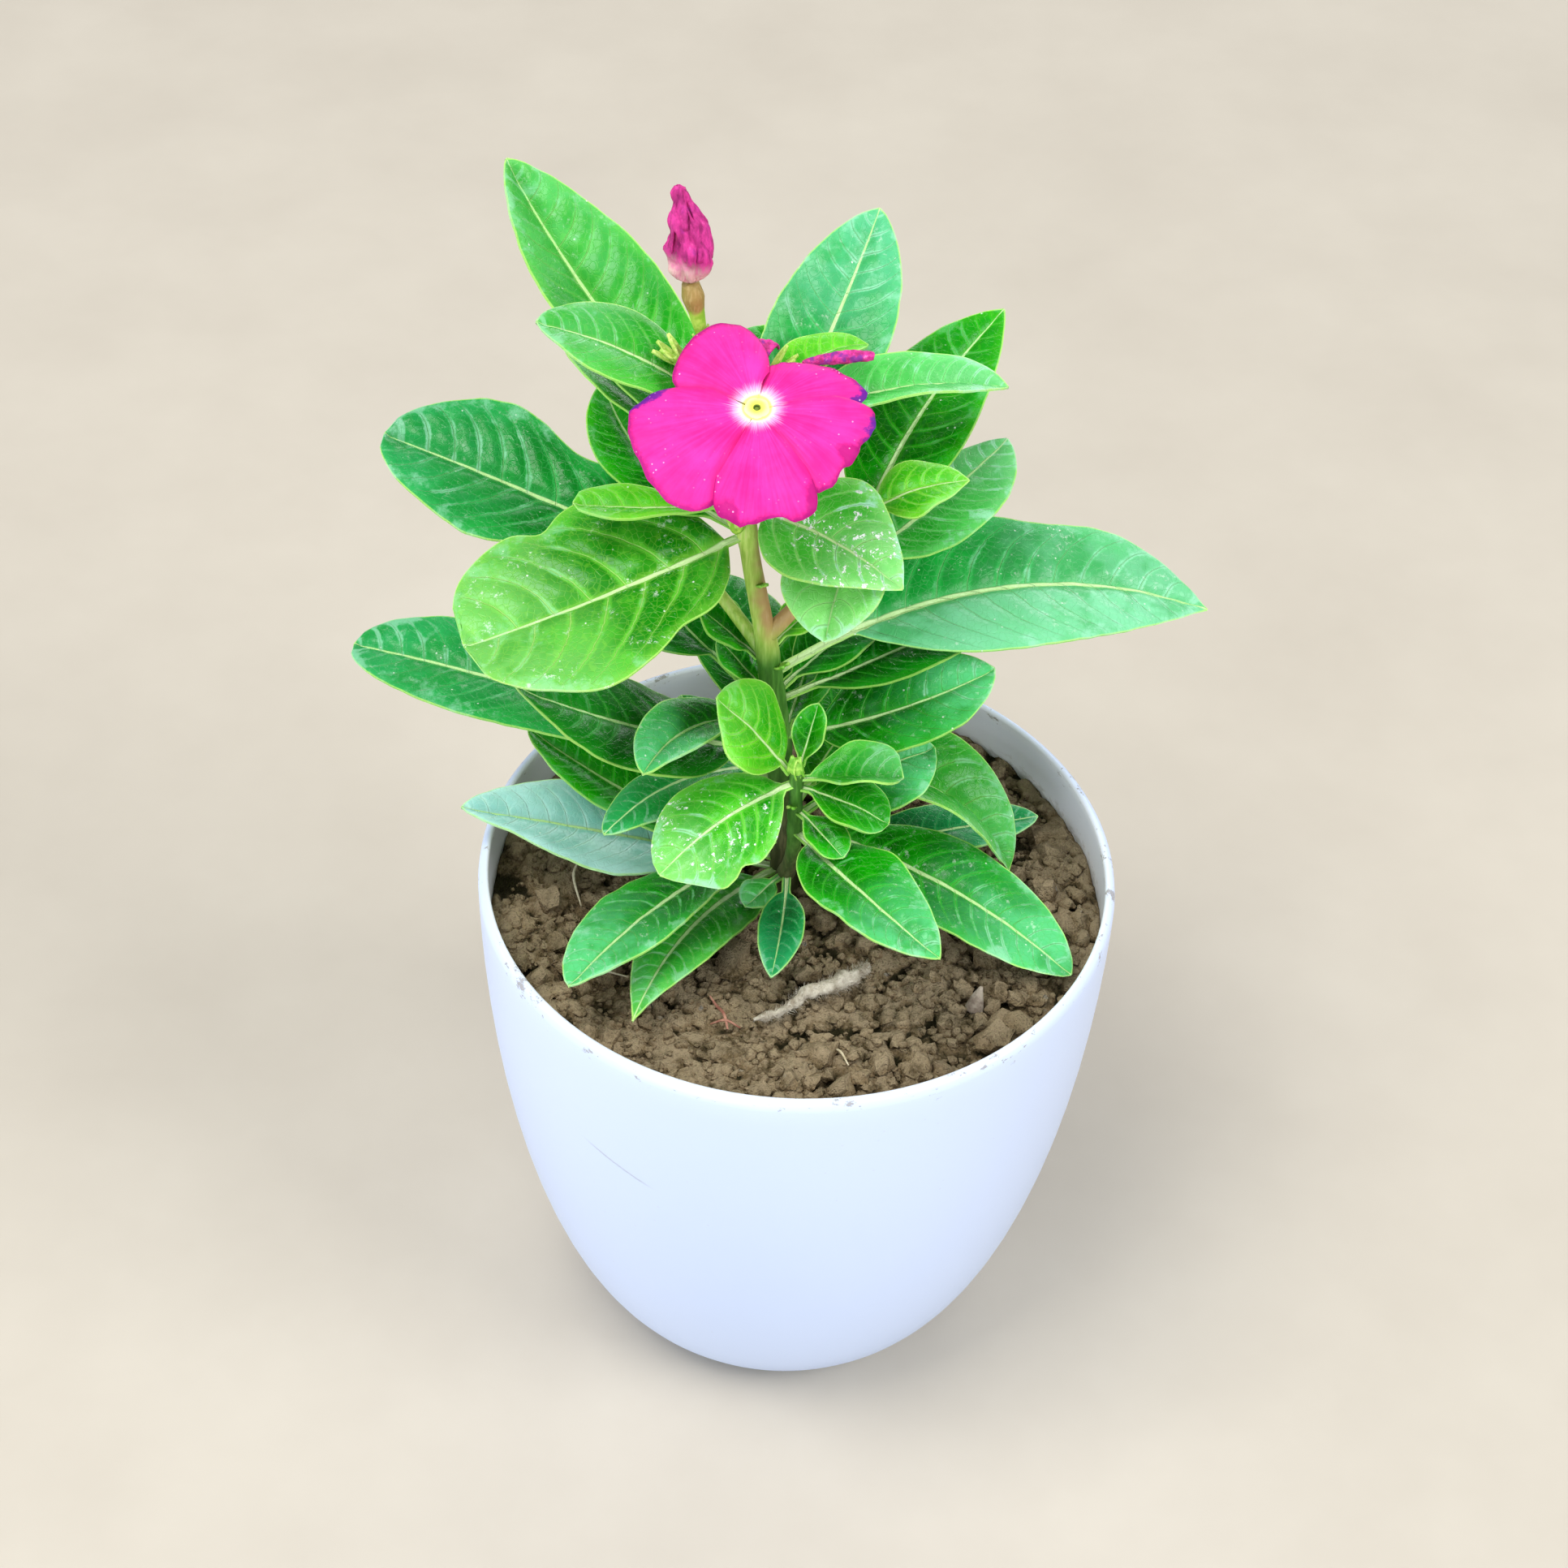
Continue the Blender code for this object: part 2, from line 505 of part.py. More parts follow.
def make_spent_flower():
    points, radii = SPENT_TUBE
    stalks = [tube("spent_flower_stalks", points, radii, "cup", steps=2)]
    for k, cup in enumerate(DROPPED_CUPS):
        stalks += dropped_cup(f"cup_{k}", *cup)
    fuse("spent_flower_stalks", stalks)
    foot, top = Vector(SPENT_LIMB_FOOT), Vector(SPENT_LIMB_TOP)
    bpy.ops.mesh.primitive_uv_sphere_add(segments=20, ring_count=10, radius=1)
    limb = bpy.context.object
    limb.name = "spent_flower_petals"
    for home in list(limb.users_collection):
        home.objects.unlink(limb)
    plant.objects.link(limb)
    limb.data.materials.append(material("petal_spent"))
    axis = top - foot
    for vert in limb.data.vertices:
        t = (vert.co.z + 1) / 2
        a = math.atan2(vert.co.y, vert.co.x)
        ring = math.hypot(vert.co.x, vert.co.y)
        belly = 0.35 + 0.65 * math.sin(math.pi * min(1, 1.35 * t)) if t < 0.5 else 0.93 - 0.85 * (t - 0.5)
        pleat = 1 + 0.2 * math.cos(5 * a + 4 * t)
        r = SPENT_LIMB_RADIUS * min(1, ring * 1.5) * belly * pleat if ring > 0.01 else 0
        spot = foot + axis * t + Vector((r * math.cos(a), 0.8 * r * math.sin(a), 0.25 * r * math.sin(2 * a)))
        vert.co = (spot + Vector((0, 0, GAP))) * MM
    limb.data.shade_smooth()


def make_withered_petals():
    points, radii = ROLLED_PETAL
    tube("rolled_petal", points, radii, "petal_spent", steps=2)
    (x, y, z), size = CURLED_PETAL
    bm = bmesh.new()
    bmesh.ops.create_grid(bm, x_segments=5, y_segments=4, size=1)
    for vert in bm.verts:
        u, v = vert.co.x, vert.co.y
        bend = math.radians(75) * u
        vert.co = Vector((x + size * (0.9 * v + 0.5 * math.sin(bend)),
                          y + size * (0.75 * math.sin(bend) - 0.3 * v),
                          z + size * (0.95 * math.cos(bend) - 0.6 - 0.25 * v * v))) * MM
    bmesh.ops.triangulate(bm, faces=bm.faces)
    curled = mesh_object("curled_petal", bm, "petal_spent")
    thick = curled.modifiers.new("Petal", "SOLIDIFY")
    thick.thickness = PETAL_THICK * MM
    thick.offset = 0


for old in list(bpy.data.objects):
    bpy.data.objects.remove(old)
plant = bpy.data.collections.new("potted_periwinkle")
cutters = bpy.data.collections.new("cutters")
cutters.hide_render = True
bpy.context.scene.collection.children.link(plant)
bpy.context.scene.collection.children.link(cutters)

make_pot()
make_soil()
make_twig()
make_stem()
for leaf_name, values in LEAVES.items():
    make_leaf(leaf_name, values)
make_flower()
make_spent_flower()
make_withered_petals()
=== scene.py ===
# Looks for a Madagascar periwinkle in flower in a white nursery pot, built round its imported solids.
# Lengths below are in millimetres and angles in degrees; the scene itself is in metres.
import math
import random

import bmesh
import bpy
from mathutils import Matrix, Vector, noise


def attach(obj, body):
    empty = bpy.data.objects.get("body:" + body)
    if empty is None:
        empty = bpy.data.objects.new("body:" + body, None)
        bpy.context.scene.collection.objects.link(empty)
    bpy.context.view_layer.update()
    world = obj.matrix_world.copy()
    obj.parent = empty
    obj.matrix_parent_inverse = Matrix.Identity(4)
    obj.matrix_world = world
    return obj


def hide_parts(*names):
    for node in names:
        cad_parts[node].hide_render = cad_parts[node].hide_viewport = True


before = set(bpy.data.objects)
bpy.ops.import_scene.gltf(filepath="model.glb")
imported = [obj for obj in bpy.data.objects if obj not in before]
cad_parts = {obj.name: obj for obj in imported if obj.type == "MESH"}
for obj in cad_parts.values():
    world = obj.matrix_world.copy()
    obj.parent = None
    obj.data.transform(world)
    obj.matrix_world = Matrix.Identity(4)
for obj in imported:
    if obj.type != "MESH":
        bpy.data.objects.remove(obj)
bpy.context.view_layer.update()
mm = 0.001
dice = random.Random(7)
print("frame loaded")


class Wire:
    # wraps one socket of a material, so that sums written in Python become Math nodes
    def __init__(self, tree, socket=None):
        self.tree = tree
        self.socket = socket

    def node(self, kind, settings=None, values=None, out=0):
        made = self.tree.nodes.new(kind)
        for name, setting in (settings or {}).items():
            setattr(made, name, setting)
        for name, value in (values or {}).items():
            if isinstance(value, Wire):
                self.tree.links.new(value.socket, made.inputs[name])
            elif isinstance(value, tuple) and len(value) == 3 and made.inputs[name].type == "RGBA":
                made.inputs[name].default_value = (*value, 1)
            else:
                made.inputs[name].default_value = value
        return Wire(self.tree, made.outputs[out])

    def math(self, operation, other=0.0):
        return self.node("ShaderNodeMath", {"operation": operation}, {0: self, 1: other})

    def __add__(self, other):
        return self.math("ADD", other)

    def __sub__(self, other):
        return self.math("SUBTRACT", other)

    def __rsub__(self, other):
        return self.node("ShaderNodeMath", {"operation": "SUBTRACT"}, {0: other, 1: self})

    def __mul__(self, other):
        return self.math("MULTIPLY", other)

    def __abs__(self):
        return self.math("ABSOLUTE")

    __radd__ = __add__
    __rmul__ = __mul__

    def fade(self, low, high):
        # 0 at low, 1 at high, soft between
        return self.node("ShaderNodeMapRange", {"interpolation_type": "SMOOTHSTEP"},
                         {"Value": self, "From Min": low, "From Max": high})

    def blend(self, low, high):
        # colour low where this mask is 0, high where it is 1
        return self.node("ShaderNodeMix", {"data_type": "RGBA"}, {0: self, 6: low, 7: high}, out=2)

    def split(self):
        made = self.node("ShaderNodeSeparateXYZ", {}, {0: self})
        return [Wire(self.tree, made.socket.node.outputs[k]) for k in range(3)]

    def place(self):
        # this object's own coordinates, in millimetres
        raw = self.node("ShaderNodeTexCoord", out=3)
        return self.node("ShaderNodeVectorMath", {"operation": "SCALE"}, {0: raw, "Scale": 1000.0})

    def cloud(self, at, size, detail=3.0, rough=0.55, seed=0.0):
        # noise whose lumps are about size across
        shift = (seed * 37.0, seed * 11.0, seed * 5.0)
        moved = self.node("ShaderNodeVectorMath", {"operation": "ADD"}, {0: at, 1: shift})
        return self.node("ShaderNodeTexNoise", {},
                         {"Vector": moved, "Scale": 1.0 / size, "Detail": detail, "Roughness": rough})

    def streaks(self, at, size, flat, detail, rough, seed):
        # noise drawn out along z, flat being how much z counts
        drawn = self.node("ShaderNodeMapping", {}, {"Vector": at, "Scale": (1.0, 1.0, flat)})
        return self.cloud(drawn, size, detail, rough, seed)

    def cells(self, at, size, feature="F1"):
        # distance to the middle, or the edge, of cells about size across
        values = {"Vector": at, "Scale": 1.0 / size}
        return self.node("ShaderNodeTexVoronoi", {"feature": feature}, values, out="Distance")

    def map(self, name):
        # the two numbers that a UV map holds
        return self.node("ShaderNodeUVMap", {"uv_map": name}).split()[:2]


def newMaterial(name):
    made = bpy.data.materials.new(name)
    made.use_nodes = True
    shader = made.node_tree.nodes["Principled BSDF"]
    return made, Wire(made.node_tree), shader


def wireUp(tree, shader, colour, rough, height=None, strength=0.4, reach=0.3, specular=0.5):
    # links or sets the shader's sockets, and adds a bump that reaches so many millimetres
    shader.inputs["Specular IOR Level"].default_value = specular
    for name, value in (("Base Color", colour), ("Roughness", rough)):
        if isinstance(value, Wire):
            tree.tree.links.new(value.socket, shader.inputs[name])
        else:
            shader.inputs[name].default_value = value
    if height is not None:
        values = {"Strength": strength, "Distance": reach * mm, "Height": height}
        bump = tree.node("ShaderNodeBump", {}, values)
        tree.tree.links.new(bump.socket, shader.inputs["Normal"])


def smoothPath(points, steps):
    # Catmull-Rom points through the given ones, ends included
    knots = [Vector(p) for p in points]
    knots = [2 * knots[0] - knots[1], *knots, 2 * knots[-1] - knots[-2]]
    path = []
    for a, b, c, d in zip(knots, knots[1:], knots[2:], knots[3:]):
        for k in range(steps):
            t = k / steps
            path.append(0.5 * (2 * b + (c - a) * t + (2 * a - 5 * b + 4 * c - d) * t * t
                               + (3 * b - a - 3 * c + d) * t ** 3))
    return [*path, knots[-2]]


def between(values, t):
    # the value at t, from 0 to 1, along evenly spaced values
    place = min(max(t, 0), 1) * (len(values) - 1)
    low = min(int(place), len(values) - 2)
    return values[low] + (values[low + 1] - values[low]) * (place - low)


def heading(turn, slope):
    a, e = math.radians(turn), math.radians(slope)
    return Vector((math.cos(a) * math.cos(e), math.sin(a) * math.cos(e), math.sin(e)))


def pick(obj):
    bpy.ops.object.select_all(action="DESELECT")
    obj.select_set(True)
    bpy.context.view_layer.objects.active = obj


def applyAll(obj):
    pick(obj)
    for modifier in list(obj.modifiers):
        bpy.ops.object.modifier_apply(modifier=modifier.name)


def tidyMesh(obj):
    # merges doubles and turns the faces outwards
    pick(obj)
    bpy.ops.object.mode_set(mode="EDIT")
    bpy.ops.mesh.select_all(action="SELECT")
    bpy.ops.mesh.remove_doubles(threshold=0.000002)
    bpy.ops.mesh.normals_make_consistent(inside=False)
    bpy.ops.object.mode_set(mode="OBJECT")


def addWall(obj, thick, backSlot=0):
    # gives a sheet its thickness, half to each side, with its own finish at the back
    wall = obj.modifiers.new("Wall", "SOLIDIFY")
    wall.thickness = thick * mm
    wall.offset = 0
    wall.material_offset = backSlot
    applyAll(obj)


def setMaps(mesh, names, values):
    # writes each vertex's values, two to a map, into UV maps of these names and drops the others
    for name in names:
        if name not in mesh.uv_layers:
            mesh.uv_layers.new(name=name)
    for old in [layer for layer in mesh.uv_layers if layer.name not in names]:
        mesh.uv_layers.remove(old)
    for k, name in enumerate(names):
        layer = mesh.uv_layers[name].data
        for loop in mesh.loops:
            layer[loop.index].uv = values[loop.vertex_index][2 * k:2 * k + 2]


def smoothFinish(obj, angle=None):
    # smooth shading, with edges sharper than the angle left sharp
    pick(obj)
    if angle is None:
        bpy.ops.object.shade_smooth()
    else:
        bpy.ops.object.shade_smooth_by_angle(angle=math.radians(angle))


def joinAll(pieces, name):
    bpy.ops.object.select_all(action="DESELECT")
    for piece in pieces:
        piece.select_set(True)
    bpy.context.view_layer.objects.active = pieces[0]
    bpy.ops.object.join()
    pieces[0].name = pieces[0].data.name = name
    return pieces[0]


def addGrid(name, rows, columns):
    # a flat grid from -1 to 1 each way, to be shaped by moving its vertices
    bpy.ops.object.select_all(action="DESELECT")
    bpy.ops.mesh.primitive_grid_add(x_subdivisions=rows, y_subdivisions=columns, size=2)
    made = bpy.context.object
    made.name = made.data.name = name
    return made


def addRod(name, points, radii, finish, steps=6, roundness=4):
    # a round rod along the points, its ends closed
    pathPoints = smoothPath(points, steps)
    curve = bpy.data.curves.new(name, "CURVE")
    curve.dimensions = "3D"
    curve.bevel_depth = mm
    curve.bevel_resolution = roundness
    curve.use_fill_caps = True
    line = curve.splines.new("POLY")
    line.points.add(len(pathPoints) - 1)
    for k, (point, spot) in enumerate(zip(line.points, pathPoints)):
        point.co = (*(spot * mm), 1)
        point.radius = between(radii, k / (len(pathPoints) - 1))
    rod = bpy.data.objects.new(name, curve)
    bpy.context.collection.objects.link(rod)
    pick(rod)
    bpy.ops.object.convert(target="MESH")
    rod = bpy.context.object
    rod.data.materials.clear()
    rod.data.materials.append(finish)
    tidyMesh(rod)
    smoothFinish(rod)
    return rod


def settle(piece, slot, *nodes):
    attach(piece, "root")
    if nodes:
        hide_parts(*nodes)


# Stems: points from the foot up, radius at the foot and at the top
stems = {
    "main": dict(points=[(-2, 5.5, 100), (-3, 6, 125), (-5, 5.5, 150), (-8, 5, 175), (-12, 5, 200),
                         (-13, 7, 216), (-13, 8, 230)], foot=2.9, top=1.5),
    "left": dict(points=[(-7.5, 5, 171), (-14, 8, 179), (-20.5, 12, 186), (-23.6, 15, 191),
                         (-25.6, 17.5, 196)], foot=1.5, top=0.9),
    "right": dict(points=[(-7.6, 5, 177), (-2, 6, 184), (4, 7, 191), (8, 7, 198), (9, 7, 206)],
                  foot=1.7, top=1.0),
    "front": dict(points=[(-3, 5, 111), (-2, -4, 122), (-1, -10, 134), (-1, -12, 146), (-1, -12, 157)],
                  foot=1.8, top=1.2),
}

# Leaves. at: height of the joint on the stem. turn: heading from above. rise: slope at the joint, and
# droop: how far it falls by the tip. swing: sideways bend. full and blunt shape the outline. dents: where
# along a margin (1 or -1) it swells or draws in, by how many mm and over what share of the length.
leafDefaults = dict(stem="main", swing=0, roll=0, fold=12, full=0.8, blunt=0.7, stalk=0.12, dents=())
leaves = {
    "crown_back_left": dict(at=214, turn=136, long=76, wide=28.7, rise=17, droop=-23, swing=-5, roll=-2,
        fold=30, full=0.66, blunt=0.75, stalk=0.1, look="fresh"),
    "crown_back_right": dict(at=209, turn=58, long=61, wide=23.9, rise=37, droop=8, swing=13, roll=-10,
        fold=11, full=0.74, blunt=0.77, stalk=0.1, look="silver"),
    "crown_left": dict(at=226, turn=166, long=41, wide=20.3, rise=36, droop=24, swing=18, roll=3, fold=10,
        full=0.83, blunt=0.69, look="fresh"),
    "crown_under_left": dict(at=207, turn=138, long=46, wide=15.3, rise=27, droop=20, swing=6, roll=-13,
        fold=20, full=0.85, blunt=0.6, look="vivid"),
    "crown_young_left": dict(at=224.5, turn=-155, long=18, wide=12, rise=14, droop=20, fold=18, stalk=0.1,
        look="young"),
    "crown_young_right": dict(at=228, turn=45, long=28, wide=10.5, rise=31, droop=59, swing=-10, roll=3,
        fold=20, full=0.7, blunt=0.79, look="young"),
    "crown_right": dict(at=221, turn=32, long=51, wide=14.8, rise=15, droop=30, swing=-24, roll=-5,
        fold=31, full=0.82, blunt=0.75, look="sheen"),
    "back_left": dict(at=202, turn=153, long=44, wide=17.1, rise=9, droop=-6, swing=-46, roll=5, fold=9,
        full=0.79, blunt=0.78, look="vivid"),
    "back_mid": dict(at=205, turn=88, long=46, wide=19, rise=22, droop=20, fold=14, look="vivid"),
    "fore_left": dict(at=201, turn=-157, long=55, wide=41.2, rise=-15, droop=-10, swing=2, roll=8,
        full=0.44, blunt=0.36, stalk=0.05,
        dents=((0.40, 1, 2.0, 0.10), (0.60, 1, -3.0, 0.07), (0.30, -1, -2.6, 0.09), (0.62, -1, 2.2, 0.14)),
        look="golden"),
    "fore_right": dict(at=208, turn=-31, long=33, wide=25.9, rise=8, droop=38, swing=2, roll=-11,
        full=0.63, blunt=0.96, stalk=0.08, dents=((0.5, -1, 1.0, 0.15), (0.8, 1, -1.0, 0.1)),
        look="frosty"),
    "left_big": dict(stem="left", at=187, turn=161, long=65, wide=31.2, rise=13, droop=5, roll=12, fold=16,
        full=0.61, blunt=0.52, stalk=0.08,
        dents=((0.22, 1, 3.2, 0.10), (0.45, 1, -3.0, 0.13), (0.75, 1, 1.5, 0.15),
               (0.42, -1, -2.0, 0.08), (0.6, -1, 1.5, 0.12)),
        look="teal"),
    "left_young": dict(at=208, turn=-172, long=30, wide=10.7, rise=1, droop=-2, swing=-6, roll=-2, fold=15,
        full=0.89, blunt=0.41, stalk=0.1, look="young"),
    "right_back": dict(stem="right", at=199, turn=72, long=58, wide=23.2, rise=23, droop=5, swing=-24,
        roll=-4, full=0.61, blunt=0.85, stalk=0.1, look="vivid"),
    "right_young": dict(stem="right", at=206, turn=23, long=20, wide=14.5, rise=29, droop=32, swing=-21,
        roll=-4, fold=7, full=0.61, blunt=0.96, look="young"),
    "right_low": dict(stem="right", at=190, turn=41, long=49, wide=20.2, rise=9, droop=3, swing=13, roll=3,
        fold=-10, full=0.78, blunt=0.68, look="sheen"),
    "right_hanging": dict(stem="right", at=200, turn=-105, long=23, wide=21.9, rise=5, droop=55, swing=2,
        roll=-11, fold=20, full=0.75, blunt=0.8, stalk=0.08, look="hanging"),
    "long_right": dict(at=167, turn=32, long=93, wide=34.4, rise=15, droop=41, swing=-28, roll=-13,
        fold=13, full=0.79, blunt=0.99, stalk=0.17,
        dents=((0.62, -1, -2.2, 0.10), (0.40, -1, 1.5, 0.12), (0.80, -1, 0.8, 0.08)), look="split"),
    "right_dark": dict(at=160, turn=18, long=45, wide=19, rise=18, droop=20, swing=18, look="dark"),
    "right_teal": dict(at=162, turn=44, long=26, wide=15, rise=20, droop=12, look="dark"),
    "right_upright": dict(at=148, turn=68, long=23, wide=14, rise=48, droop=15, fold=16, look="vivid"),
    "mid_bright": dict(at=174, turn=40, long=11, wide=9, rise=33, droop=15, fold=16, look="young"),
    "mid_right": dict(at=151, turn=-10, long=43, wide=23.2, rise=23, droop=7, swing=36, roll=-12, fold=15,
        full=0.76, blunt=0.76, dents=((0.35, -1, 1.2, 0.12), (0.65, -1, -0.8, 0.08)), look="glossy"),
    "mid_left_fold": dict(at=171, turn=164, long=15, wide=12, rise=44, droop=15, fold=16, look="vivid"),
    "mid_left_up": dict(at=162, turn=151, long=13, wide=11, rise=46, droop=15, fold=16, look="vivid"),
    "mid_front_left": dict(at=155, turn=-148, long=40, wide=14.9, rise=34, droop=37, swing=41, roll=4,
        fold=25, full=0.77, blunt=0.68, stalk=0.1, look="glossy"),
    "low_left_hidden": dict(at=158, turn=150, long=34, wide=20, rise=30, droop=25, swing=-20, fold=10,
        full=0.7, stalk=0.4, look="dark"),
    "low_front_left": dict(at=142, turn=-161, long=40, wide=12.9, rise=18, droop=35, swing=36, roll=-5,
        fold=-4, full=0.78, blunt=0.71, stalk=0.1, look="teal"),
    "low_left_long": dict(at=137, turn=165, long=91, wide=26.2, rise=14, droop=20, swing=-4, roll=6,
        fold=15, blunt=0.51, look="teal"),
    "low_left": dict(at=147, turn=202, long=59, wide=25, rise=25, droop=-13, swing=-5, roll=9, fold=5,
        full=0.72, blunt=0.86, look="dark"),
    "low_left_thin": dict(at=116, turn=183, long=57, wide=16.7, rise=26, droop=6, swing=-32, roll=6,
        fold=18, full=0.69, blunt=0.68, look="vivid"),
    "low_left_pale": dict(at=113, turn=180, long=65, wide=23.6, rise=15, droop=1, swing=6, roll=1, fold=17,
        full=0.7, blunt=0.75, dents=((0.52, -1, 3.8, 0.15), (0.84, -1, -1.4, 0.08), (0.55, 1, -1.2, 0.1)),
        look="pale"),
    "low_back": dict(at=140, turn=104, long=56, wide=22, rise=18, droop=30, swing=8, fold=10, look="dark"),
    "low_back_right": dict(at=126, turn=64, long=58, wide=21, rise=14, droop=24, swing=-8, fold=10,
        look="vivid"),
    "rosette_left": dict(stem="front", at=157, turn=170, long=22, wide=20.6, rise=57, droop=17, swing=8,
        roll=13, fold=8, full=0.84, blunt=0.75, stalk=0.08, look="young"),
    "rosette_tiny": dict(stem="front", at=158, turn=65, long=12, wide=7.2, rise=60, droop=10, fold=16,
        stalk=0.03, look="vivid"),
    "rosette_right": dict(stem="front", at=155, turn=0, long=19, wide=16, rise=8, droop=10, fold=40,
        full=0.9, blunt=0.5, stalk=0.02, look="fresh"),
    "rosette_left_front": dict(stem="front", at=154, turn=-155, long=31, wide=22.7, rise=-9, droop=22,
        swing=19, roll=13, fold=-9, full=0.67, blunt=0.69, stalk=0.05,
        dents=((0.55, -1, -1.6, 0.07), (0.78, -1, 1.4, 0.08)), look="dusty"),
    "rosette_right_front": dict(stem="front", at=153, turn=-15, long=18, wide=15, rise=0, droop=34,
        swing=1, full=0.7, blunt=0.6, stalk=0.08, look="vivid"),
    "rosette_low": dict(stem="front", at=147, turn=-48, long=13, wide=9, rise=0, droop=25, fold=14,
        blunt=0.6, stalk=0.1, look="vivid"),
    "rosette_right_side": dict(stem="front", at=145, turn=34, long=30, wide=21, rise=17, droop=16,
        swing=-9, roll=-7, fold=5, full=0.84, blunt=0.69, stalk=0.1, look="glossy"),
    "base_front_left": dict(at=122, turn=-141, long=61, wide=19.8, rise=6, droop=4, swing=24, roll=-13,
        fold=11, full=0.91, blunt=0.75, stalk=0.1, look="glossy"),
    "base_soil_left": dict(at=114, turn=-135, long=55, wide=18.5, rise=12, droop=18, swing=32, roll=-4,
        fold=6, full=0.55, blunt=1.1, stalk=0.1, look="fresh"),
    "base_front_small": dict(stem="front", at=121, turn=-90, long=25, wide=9.9, rise=6, droop=29,
        swing=-11, roll=3, fold=20, full=0.75, blunt=0.8, stalk=0.14, look="blue"),
    "base_front_tiny": dict(stem="front", at=120, turn=-130, long=10, wide=8, rise=5, droop=25, fold=14,
        stalk=0.14, look="sheen"),
    "base_front_right": dict(stem="front", at=141, turn=-60, long=44, wide=19.3, rise=12, droop=22,
        swing=18, roll=-2, fold=13, full=0.61, blunt=0.79, stalk=0.1,
        dents=((0.45, -1, 0.8, 0.12), (0.55, 1, -0.8, 0.08)), look="glossy"),
    "base_right_long": dict(at=126, turn=-19, long=64, wide=21.6, rise=-1, droop=24, swing=-14, roll=-8,
        fold=13, full=0.67, look="glossy"),
    "base_right_back": dict(at=136, turn=10, long=54, wide=26.4, rise=18, droop=91, swing=-38, roll=3,
        fold=32, full=0.72, blunt=1.03, look="fresh"),
    "base_back_right": dict(at=112, turn=17, long=52, wide=15, rise=11, droop=18, fold=8, look="blue"),
    "base_back": dict(at=115, turn=118, long=48, wide=17, rise=14, droop=22, fold=8, look="dark"),
}
leaves = {name: {**leafDefaults, **given} for name, given in leaves.items()}
# The gap to the stem's skin, the solid's and the finished thickness, mesh size, and the blade's relief
leafShape = dict(gap=0.3, blade=0.7, thick=0.45, stalkWidth=1.9, rowLength=1.05, columnWidth=2.4, root=0.8,
                 veinsAcross=5.6, leastVeinGap=3.0, quilt=0.48, groove=0.20, dome=0.08, ripple=0.4,
                 dimple=0.25, channel=0.65, channelWidth=1.4, turnDown=0.7, ragged=0.22)
paleBacked = ("pale", "blue", "teal", "silver", "split")  # looks with a paler underside
slotWords = dict(leaf_pale=("pale", "base_back_right", "hanging"),
                 leaf_young=("young", "rosette", "bright", "tiny", "fore_", "crown_left", "small"),
                 leaf_old=("",))

